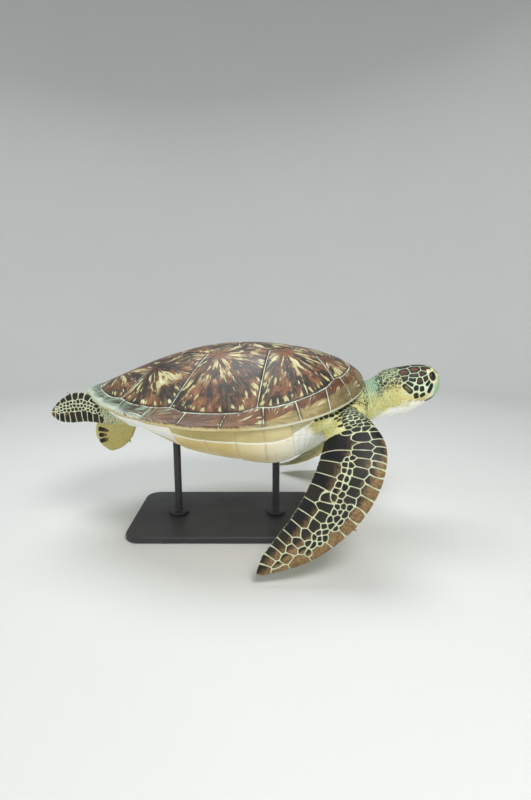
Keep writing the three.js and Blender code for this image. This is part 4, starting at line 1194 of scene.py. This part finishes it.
def build_skin():
    skin = Skin(fused_flesh())
    skin.lay_scales()
    skin.fold_neck()
    skin.carve_mouth()
    skin.carve_eyes()
    skin.shape_beak()
    skin.raise_surface()
    skin.write_marks()
    return link("skin", skin.mesh)


# ---------- Eyes, claws and rods ----------

CLAW_SPAN = 0.7
BASE_HEIGHT, ROD_RADIUS, ROD_FOOT_RADIUS, ROD_FOOT_HEIGHT = 20.0, 11.0, 30.0, 8.0
ROD_GAP, ROD_DEPTH_IN_PLASTRON = 0.3, 5
FOOT_ROUNDING, FOOT_FILLET = 2.0, 2.5


def build_eye(hand, name):
    gaze = ball_rings((0, 0, 0), (1, 1, 1), 72, 96)
    along, out, up = eye_frame(hand)
    shape = (gaze * EYE_RADII) @ np.array([along, up, out])
    points, faces = closed_loft(EYE * [1, hand, 1] + out * EYE_OUT + shape)
    return new_object(name, points, faces, gaze=gaze.reshape(-1, 3))


def build_claw(blade, length, name, steps=60, sides=40):
    """A claw on the leading edge, curved towards the tip."""
    root = blade.lead.point(CLAW_SPAN)[0]
    tipwards = blade.lead.tangent(CLAW_SPAN)[0]
    out = unit(root - blade.trail.point(CLAW_SPAN)[0])
    share = np.linspace(0, 1, steps)[:, None]
    middle = root + out * (length * (share * 1.2 - 0.35)) + tipwards * (length * share**2 * 0.8)
    radius = lerp(length * 0.24, 0.4, share**1.3) * np.minimum(1, ((1 - share) * 16) ** 0.5 + 0.1)
    radius = (radius * (1 + 0.03 * np.sin(share * 38)))[:, 0]
    ahead = unit(out * 1.2 + tipwards * (1.6 * share))
    first = unit(np.cross([0.0, 0.0, 1.0], ahead))
    rings = tube(middle, first, np.cross(ahead, first), radius, radius * 0.94, sides)
    return new_object(name, *closed_loft(rings), share=np.repeat(share, sides))


def build_rod(x, name):
    """A round rod with a turned foot, up into the plastron."""
    low = BASE_HEIGHT - BODY_HEIGHT + ROD_GAP
    top = body_point(x, 0)[2] + ROD_DEPTH_IN_PLASTRON
    shoulder = low + ROD_FOOT_HEIGHT - 2.3
    rounded, hollow = np.linspace(0.2, math.pi / 2, 6), np.linspace(0, math.pi / 2, 7)
    radius = [0.01, ROD_FOOT_RADIUS - 0.4, ROD_FOOT_RADIUS, ROD_FOOT_RADIUS,
              *ROD_FOOT_RADIUS - FOOT_ROUNDING * (1 - np.cos(rounded)),
              *ROD_RADIUS + FOOT_FILLET * (1 - np.sin(hollow)), ROD_RADIUS, ROD_RADIUS, ROD_RADIUS - 1, 0.01]
    height = [low, low, low + 0.4, shoulder, *shoulder + FOOT_ROUNDING * np.sin(rounded),
              *shoulder + FOOT_ROUNDING + FOOT_FILLET * (1 - np.cos(hollow)), low + 30, top - 1, top, top]
    radius = np.array(radius)
    middle = np.stack([x + 0 * radius, 0 * radius, height], -1)
    return new_object(name, *closed_loft(tube(middle, [1, 0, 0], [0, 1, 0], radius, radius, 72)))


# ---------- Materials ----------

class Value:
    """The output of a node. Arithmetic on it adds nodes."""

    def __init__(self, finish, socket):
        self.finish, self.socket = finish, socket

    def __add__(self, other):
        return self.finish.math("ADD", self, other)

    def __sub__(self, other):
        return self.finish.math("SUBTRACT", self, other)

    def __rsub__(self, other):
        return self.finish.math("SUBTRACT", other, self)

    def __mul__(self, other):
        return self.finish.math("MULTIPLY", self, other)

    def __truediv__(self, other):
        return self.finish.math("DIVIDE", self, other)

    def __abs__(self):
        return self.finish.math("ABSOLUTE", self)

    def most(self, other):
        return self.finish.math("MAXIMUM", self, other)

    def ease(self, low, high, first=0.0, last=1.0):
        """From first to last, smoothly, as the value goes from low to high."""
        return self.finish.output("MapRange", 0, {0: self, 1: low, 2: high, 3: first, 4: last},
                                  interpolation_type="SMOOTHSTEP")

    def shade(self, low, high, first, last):
        """From the first colour to the last as the value goes from low to high."""
        return self.finish.mix(self.ease(low, high), first, last)


class Finish:
    """A procedural material, with short forms for its nodes. Colours are linear."""

    def __init__(self, name, **settings):
        self.material = bpy.data.materials.new(name)
        self.material.use_nodes = True
        self.tree = self.material.node_tree
        self.shader = self.tree.nodes["Principled BSDF"]
        for socket, value in settings.items():
            self.shader.inputs[socket.replace("_", " ")].default_value = value

    @cached_property
    def place(self):
        """A point's place on the model, in metres."""
        return self.output("TexCoord", "Object")

    def node(self, kind, inputs=(), **settings):
        node = self.tree.nodes.new("ShaderNode" + kind)
        for key, value in settings.items():
            setattr(node, key, value)
        for key, value in dict(inputs).items():
            self.feed(node.inputs[key], value)
        return node

    def output(self, kind, key, inputs=(), **settings):
        return Value(self, self.node(kind, inputs, **settings).outputs[key])

    def feed(self, socket, value):
        if isinstance(value, Value):
            self.tree.links.new(value.socket, socket)
        elif socket.type == "RGBA":
            socket.default_value = (*value, 1)
        else:
            socket.default_value = value

    def attribute(self, name, kind="Fac"):
        return self.output("Attribute", kind, attribute_name=name)

    def split(self, vector):
        """The three parts of a vector, or of the attribute of that name."""
        if isinstance(vector, str):
            vector = self.attribute(vector, "Vector")
        return [Value(self, socket) for socket in self.node("SeparateXYZ", {0: vector}).outputs]

    def join(self, *values):
        return self.output("CombineXYZ", 0, enumerate(values))

    def math(self, operation, *values):
        return self.output("Math", 0, enumerate(values), operation=operation)

    def mix(self, share, a, b):
        return self.output("Mix", 2, {0: share, 6: a, 7: b}, data_type="RGBA")

    def paint(self, color, *layers):
        """A colour with others over it, each given as its share and the colour."""
        for share, over in layers:
            color = self.mix(share, color, over)
        return color

    def noise(self, scale, detail=3.0, roughness=0.55, at=None):
        inputs = {"Vector": at or self.place, "Scale": scale, "Detail": detail, "Roughness": roughness}
        return self.output("TexNoise", "Fac", inputs)

    def cells(self, scale, feature="F1"):
        return self.output("TexVoronoi", "Distance", {"Vector": self.place, "Scale": scale}, feature=feature)

    def bridge_layers(self, ochre):
        """The bridge between plastron and marginals, with a pale fold along its upper edge."""
        bridge = self.attribute("bridge")
        return (bridge.ease(-1.0, 5.0) * 0.8, ochre), (abs(bridge).ease(3.2, 1.0) * 0.8, (0.84, 0.87, 0.76))

    def finish(self, color, roughness, height, distance):
        """Links the colour, roughness and a bump whose height of 1 is that many metres."""
        self.feed(self.shader.inputs["Base Color"], color)
        self.feed(self.shader.inputs["Roughness"], roughness)
        bump = self.output("Bump", 0, {"Height": height, "Distance": distance, "Strength": 1.0})
        self.feed(self.shader.inputs["Normal"], bump)
        return self.material


def carapace_finish():
    f = Finish("carapace_horn", Coat_Weight=0.1, Coat_Roughness=0.25, Specular_IOR_Level=0.4)
    seam = f.attribute("seam")
    cos, sin, reach = f.split("ray")
    kind, _, number = f.split("plate")
    share, turn, under = f.split("zone")

    def streaks(fan, radial, offset, detail, bend):
        """Noise drawn out along rays from the areola: its fineness round and along them, and sway."""
        sway = (f.noise(30.0) - 0.5) * bend
        along = reach * radial + (number + offset)
        return f.noise(1.0, detail, at=f.join(cos * fan + sway, sin * fan + sway, along))

    broad = streaks(3.6, 0.013, 0.0, 2.0, 0.9)
    fine = streaks(9.0, 0.021, 11.0, 2.0, 0.7)
    dash = streaks(19.0, 0.03, 31.0, 1.0, 0.5)
    hair = streaks(34.0, 0.03, 23.0, 3.0, 0.4)
    patches = f.noise(15.0, 4.0, 0.6)
    fans = reach.ease(10, 34)
    marginal = kind.ease(0.7, 0.8)
    rear = (turn + (fine - 0.5) * 0.5).ease(0.63, 0.72)
    wobble = seam + (f.noise(45.0, 2.0) - 0.5) * 2.6
    lines = wobble.ease(1.45, 0.8).most(seam.ease(0.9, 0.5))

    dark = patches.shade(0.4, 0.6, (0.016, 0.012, 0.009), (0.02, 0.021, 0.017))
    chestnut = patches.shade(0.35, 0.65, (0.12, 0.046, 0.02), (0.19, 0.075, 0.03))
    near = reach.ease(20, 44) * reach.ease(85, 130, 1.0, 0.08)
    flames = (broad * 0.5 + fine * 0.62).ease(0.596, 0.632) * near * hair.ease(0.28, 0.48, 0.6, 1.0)
    drops = dash.ease(0.655, 0.69) * reach.ease(60, 95)
    fringe = dash.ease(0.56, 0.6) * seam.ease(26, 14) * reach.ease(95, 125)
    cream = flames.most(drops.most(fringe)) * seam.ease(2.0, 7.0) * marginal.ease(0, 1, 1.0, 0.25)
    plates = f.paint(
        (broad * 0.7 + patches * 0.45).shade(0.5, 0.62, dark, chestnut),
        (fans * (1 - fine).ease(0.5, 0.62) * 0.8, dark),
        (fans * hair.ease(0.52, 0.68) * 0.4, (0.26, 0.12, 0.045)),
        (cream, fine.shade(0.5, 0.75, (0.42, 0.4, 0.19), (0.62, 0.62, 0.4))))

    start = turn.ease(0.47, 0.33, 0.995, 0.932) + (fine - 0.5) * -0.03
    golden = (share - start).ease(-0.004, 0.01) * (1 - rear) * 0.85
    olive = fine.shade(0.4, 0.6, (0.1, 0.08, 0.035), (0.17, 0.14, 0.06))
    gold = fine.shade(0.4, 0.6, (0.22, 0.18, 0.07), (0.36, 0.29, 0.12))
    gold = f.mix(turn.ease(0.27, 0.2) * 0.8, gold, olive)
    flecks = (1 - rear) * (fine + patches * 0.6).ease(0.93, 0.97) * reach.ease(22, 40)
    edge = f.paint(
        (fine * 0.5 + patches * 0.6).shade(0.46, 0.62, (0.07, 0.03, 0.014), (0.165, 0.075, 0.028)),
        (golden, gold),
        (flecks * 0.9, (0.5, 0.52, 0.36)),
        (rear, (fine + patches * 0.4).shade(0.62, 0.8, (0.035, 0.045, 0.03), (0.2, 0.27, 0.2))),
        (rear * share.ease(0.945, 0.99) * 0.8, (0.5, 0.56, 0.45)))

    below = f.paint(
        f.noise(9.0).shade(0.4, 0.62, (0.6, 0.52, 0.28), (0.48, 0.38, 0.16)),
        (lines * 0.5, (0.4, 0.36, 0.26)),
        (turn.ease(0.5, 0.3), (0.66, 0.67, 0.52)))
    shadow = seam.ease(11, 1.5) * (1 - rear * marginal) * patches.ease(0.3, 0.6) * 0.6
    color = f.paint(plates, (marginal, edge), (shadow, (0.02, 0.016, 0.012)),
                    (lines * 0.95, (0.56, 0.64, 0.52)), (under, below))
    height = fine * fans * 0.4 + (hair * fans * 0.35 + f.noise(420.0, 4.0, 0.7) * 0.3)
    return f.finish(color, patches.ease(0.3, 0.7, 0.42, 0.56) + lines * 0.15, height, 0.0009)


def plastron_finish():
    f = Finish("plastron_horn", Coat_Weight=0.2, Coat_Roughness=0.25, Specular_IOR_Level=0.45)
    seam = f.attribute("seam")
    x = f.split(f.place)[0]
    cloud = f.noise(7.0, 4.0)
    color = f.paint(
        cloud.shade(0.34, 0.68, (0.64, 0.49, 0.19), (0.74, 0.63, 0.35)),
        (x.ease(0.02, 0.22), (0.82, 0.79, 0.64)),
        *f.bridge_layers(cloud.shade(0.36, 0.64, (0.34, 0.28, 0.1), (0.5, 0.41, 0.17))),
        (f.noise(60.0, 4.0).ease(0.56, 0.75) * 0.4, (0.55, 0.42, 0.2)),
        (abs(seam).ease(1.5, 0.4) * 0.7, (0.36, 0.35, 0.29)))
    height = f.noise(260.0, 4.0, 0.65) * 0.6 + f.noise(45.0)
    return f.finish(color, cloud.ease(0.3, 0.7, 0.42, 0.56), height, 0.0009)


def skin_values(f):
    """What the skin's attributes hold, with the place and two noises."""
    m = SimpleNamespace(edge=f.attribute("edge"), cloud=f.noise(26.0, 4.0), mottle=f.noise(150.0, 4.0, 0.6))
    m.dark, m.warm, m.seam_half = f.split("tone")
    m.a, m.b, m.chance = f.split("local")
    m.pale, m.beak, m.ventral = f.split("zone")
    # m.neck is the painted shade of the neck's folds, and m.mouth the painted shade along the mouth.
    m.neck, m.lids, m.mouth = f.split("fold")
    m.span, m.chord, m.part = f.split("place")
    m.x, m.y, m.z = f.split(f.place)
    m.trunk, m.limb = m.part.ease(0.1, 0.05), m.part.ease(0.1, 0.15)
    return m


def ground_color(f, m):
    """The skin between the scales, from cream and yellow to the cyan of nape and crown, with painted shade in
    the creases of neck and shoulders and a painted teal cast of light on the top of the neck.
    """
    x, z, tinted, upper = m.x, m.z, 1 - m.pale, m.limb * (1 - m.ventral)
    side = tinted * m.trunk
    stipple = f.noise(1.0, 2.0, at=f.join(x * 330.0, m.y * 150.0, z * 110.0))
    stippled = side * stipple.ease(0.5, 0.62) * x.ease(0.39, 0.42) * x.ease(0.53, 0.5)
    white = m.cloud.shade(0.35, 0.65, (0.9, 0.88, 0.78), (0.84, 0.87, 0.86))
    front_under = m.chord.shade(0.3, 0.46, (0.74, 0.54, 0.13), (0.27, 0.29, 0.13))
    under = m.part.shade(0.55, 0.45, (0.56, 0.46, 0.15), front_under)
    horn = f.paint(m.cloud.shade(0.4, 0.6, (0.3, 0.47, 0.3), (0.46, 0.57, 0.38)),
                   (x.ease(0.617, 0.626) * m.mottle.ease(0.3, 0.55), (0.42, 0.4, 0.14)))
    # Painted shade: darker lines in the creases between the soft pale scales of the shoulders.
    crease_shade = m.edge.ease(1.3, 0.2) * (1 - m.dark) * (1 - m.lids) * x.ease(0.415, 0.39) * 0.45
    return f.paint(
        m.cloud.shade(0.3, 0.7, (0.58, 0.53, 0.2), (0.62, 0.64, 0.33)),
        (side * x.ease(0.46, 0.5) * m.cloud.ease(0.35, 0.6) * 0.7, (0.68, 0.55, 0.2)),
        (stippled * 0.55, (0.27, 0.31, 0.12)),
        (m.pale, white),
        (m.ventral * tinted * m.span.ease(0.05, 0.2) * 0.75, under),
        (tinted * m.mottle.ease(0.45, 0.6) * f.cells(330.0).ease(0.5, 0.25) * 0.8, (0.15, 0.16, 0.07)),
        (x.ease(0.49, 0.53) * z.ease(0.385, 0.42) * m.trunk * 0.85, (0.6, 0.73, 0.54)),
        (x.ease(0.41, 0.44) * z.ease(0.42, 0.46) * m.trunk * 0.6, (0.36, 0.52, 0.34)),
        # Painted shade in the neck's fold troughs, olive low down and teal on top, where it is also a painted
        # teal cast of light.
        (m.neck.ease(0.02, 0.55), z.shade(0.38, 0.43, (0.34, 0.36, 0.16), (0.15, 0.3, 0.24))),
        (m.lids * 0.85, (0.74, 0.68, 0.42)),
        (m.beak, horn),
        (x.ease(0.592, 0.606) * z.ease(0.444, 0.46) * 0.85, (0.74, 0.72, 0.4)),
        (upper * m.span.ease(0.02, 0.07) * m.chord.ease(0.62, 0.42) * 0.65, (0.4, 0.55, 0.37)),
        (upper * m.span.ease(0.14, 0.24) * 0.85, (0.52, 0.55, 0.38)),
        (crease_shade, f.mix(m.pale, (0.34, 0.34, 0.14), (0.44, 0.42, 0.4))),
        *f.bridge_layers((0.46, 0.4, 0.17)))


def scale_color(f, m):
    """Near-black scales, with rust and amber on the flippers, and crimson or olive on the head."""
    core = (m.chance + m.mottle * 0.6).shade(0.4, 1.3, (0.005, 0.006, 0.007), (0.018, 0.016, 0.01))
    amber = (m.warm * 1.5 + (m.b * -0.45 + m.mottle * 0.35)).ease(0.62, 1.25) * m.limb
    middle = (m.a * m.a + m.b * m.b).ease(1.1, 0.1)
    return f.paint(
        core,
        (amber, m.mottle.shade(0.36, 0.64, (0.13, 0.083, 0.034), (0.26, 0.16, 0.066))),
        (middle * m.warm * m.trunk * m.mottle.ease(0.3, 0.62, 0.35, 1.0), (0.175, 0.062, 0.03)),
        (middle * m.warm * -1.0 * m.mottle.ease(0.36, 0.6, 0.45, 1.0), (0.15, 0.14, 0.055)),
        (m.edge.ease(4.0, 1.2) * 0.3, (0.09, 0.075, 0.035)))


def skin_finish():
    f = Finish("turtle_skin", Coat_Weight=0.0, Coat_Roughness=0.35, Specular_IOR_Level=0.28,
               Subsurface_Weight=0.05, Subsurface_Scale=0.004)
    m = skin_values(f)
    seam_edge = m.seam_half + (m.mottle - 0.5) * 0.8
    scale = (m.edge - seam_edge).ease(-0.3, 0.45) * m.dark
    # Over the ground go the scales, then painted shade along the groove of the mouth.
    color = f.paint(ground_color(f, m), (scale, scale_color(f, m)), (m.mouth * 0.5, (0.1, 0.1, 0.06)))
    soft = 1 - scale
    pores = f.cells(520.0, "SMOOTH_F1") * soft * -0.5
    height = pores + (f.cells(210.0, "SMOOTH_F1") * soft * -0.4 + m.mottle * 0.35)
    rough = scale.ease(0, 1, 0.56, 0.46) + (m.mottle - 0.5) * 0.2
    return f.finish(color, rough, height, 0.0011)


def eye_finish():
    f = Finish("turtle_eye", Coat_Weight=0.55, Coat_Roughness=0.02, Specular_IOR_Level=0.2)
    x, y, _ = f.split("gaze")
    reach = f.math("SQRT", x * x + y * y)
    fan = f.noise(7.0, at=f.join(x / (reach + 0.01), y / (reach + 0.01), reach * 1.5))
    iris = fan.shade(0.35, 0.65, (0.006, 0.005, 0.004), (0.022, 0.016, 0.01))
    color = f.paint(reach.shade(0.4, 0.46, (0.002, 0.002, 0.002), iris),
                    (reach.ease(0.74, 0.9), (0.008, 0.007, 0.006)))
    return f.finish(color, fan.ease(0.3, 0.7, 0.06, 0.12), fan, 0.0001)


def claw_finish():
    f = Finish("claw_horn", Coat_Weight=0.3, Coat_Roughness=0.15)
    grain = f.noise(700.0, 4.0)
    color = f.paint(f.attribute("share").shade(0.2, 0.95, (0.16, 0.1, 0.04), (0.5, 0.38, 0.18)),
                    (grain.ease(0.45, 0.7) * 0.5, (0.08, 0.05, 0.02)))
    return f.finish(color, grain.ease(0.3, 0.7, 0.3, 0.45), grain, 0.0005)


def powder_coat_finish():
    f = Finish("black_powder_coat", Specular_IOR_Level=0.5)
    orange_peel = f.noise(900.0, 2.0, 0.5)
    cloud = f.noise(14.0, 4.0)
    color = f.paint(cloud.shade(0.3, 0.7, (0.018, 0.018, 0.02), (0.028, 0.028, 0.031)),
                    (f.noise(2400.0, 2.0).ease(0.62, 0.72) * 0.4, (0.06, 0.06, 0.065)))
    return f.finish(color, cloud.ease(0.3, 0.7, 0.42, 0.55), orange_peel, 0.0004)


def floor_finish():
    f = Finish("pale_floor")
    cloud = f.noise(1.2)
    color = f.mix(cloud, (0.6, 0.61, 0.6), (0.64, 0.65, 0.64))
    return f.finish(color, cloud.ease(0.3, 0.7, 0.75, 0.85), f.noise(90.0), 0.0003)


# ---------- Assembly ----------

ROD_PLACES = {"front": 150, "rear": -150}
CLAW_LENGTHS = {"front": 16, "hind": 12}
FLESH_NODES = ["torso", "neck", "head", "front_flipper_right", "front_flipper_left", "hind_flipper_right",
               "hind_flipper_left", "tail"]


def give_material(obj, material):
    obj.data.materials.clear()
    obj.data.materials.append(material)


def dress(obj, material, slot, *nodes):
    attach(obj, "root")
    give_material(obj, material)
    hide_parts(*nodes)


dress(build_carapace(), carapace_finish(), "carapace", "carapace")
dress(build_plastron(), plastron_finish(), "plastron", "plastron")
dress(build_skin(), skin_finish(), "skin", *FLESH_NODES)
eye_material = eye_finish()
for side, hand in (("left", 1), ("right", -1)):
    dress(build_eye(hand, f"eyeball_{side}"), eye_material, "eye", f"eye_{side}")
claw_material = claw_finish()
for name, blade in BLADES.items():
    pair, side = name.split("_")
    claw = build_claw(blade, CLAW_LENGTHS[pair], f"claw_{pair}_{side}")
    dress(claw, claw_material, "claw", f"{pair}_claw_{side}")
stand_material = powder_coat_finish()
for name, x in ROD_PLACES.items():
    dress(build_rod(x, f"rod_{name}"), stand_material, "stand", f"stand_rod_{name}")
give_material(bpy.data.objects["stand_base"], stand_material)


# ---------- Stage, light and camera ----------

FLOOR_RADIUS, FLOOR_CURVE, WALL_HEIGHT = 2.6, 1.2, 4.5


def build_stage(sides=128):
    """A round pale floor that curves up into a wall on every side."""
    wall = FLOOR_RADIUS + FLOOR_CURVE
    outline = [(0.6, 0.0), (1.5, 0.0), (FLOOR_RADIUS, 0.0)]
    outline += [(FLOOR_RADIUS + FLOOR_CURVE * math.sin(a), FLOOR_CURVE - FLOOR_CURVE * math.cos(a))
                for a in np.linspace(0.1, math.pi / 2, 18)]
    outline += [(wall, 2.0), (wall, WALL_HEIGHT)]
    radius, height = np.array(outline).T
    middle = np.stack([0 * height, 0 * height, height], -1)
    rings = tube(middle, [1, 0, 0], [0, 1, 0], radius, radius, sides)
    faces = [(0, 1 + j, 1 + (j + 1) % sides) for j in range(sides)]
    faces += (grid_faces(len(rings), sides, around=True)[:, ::-1] + 1).tolist()
    mesh = bpy.data.meshes.new("studio_floor")
    mesh.from_pydata([(0, 0, 0), *rings.reshape(-1, 3).tolist()], [], faces)
    mesh.polygons.foreach_set("use_smooth", np.ones(len(mesh.polygons), bool))
    mesh.materials.append(floor_finish())
    link("studio_floor", mesh)


def add_light(name, place, aim, size, power, color):
    data = bpy.data.lights.new(name, "AREA")
    data.shape, data.size, data.energy, data.color = "DISK", size, power, color
    obj = link(name, data)
    obj.location = place
    obj.rotation_euler = (Vector(aim) - Vector(place)).to_track_quat("-Z", "Y").to_euler()


build_stage()
add_light("key", (1.0, -1.9, 2.7), (0.05, 0, 0.4), 1.2, 66, (1, 0.98, 0.95))
add_light("overhead", (-0.3, 0.9, 3.4), (0, 0, 0.4), 2.2, 74, (0.96, 0.99, 1))
add_light("fill", (-2.3, -1.5, 1.2), (0, 0, 0.35), 1.6, 16, (0.95, 0.98, 1))
add_light("floor_fill", (0.9, -2.3, 0.35), (0.25, 0, 0.36), 1.0, 12, (1, 1, 0.98))

world_light = bpy.data.worlds.new("soft_room")
world_light.use_nodes = True
background = world_light.node_tree.nodes["Background"]
background.inputs["Color"].default_value = (0.9, 0.95, 1.0, 1)
background.inputs["Strength"].default_value = 0.2
bpy.context.scene.world = world_light
bpy.context.scene.view_settings.view_transform = "Standard"

lens = bpy.data.cameras.new("camera")
lens.sensor_fit = "VERTICAL"
lens.sensor_height = 36
lens.lens = 22.815
camera = link("camera", lens)
camera.location = (0.118, -1.474, 0.675)
camera.rotation_euler = (math.radians(78.5), 0, 0)
bpy.context.scene.camera = camera
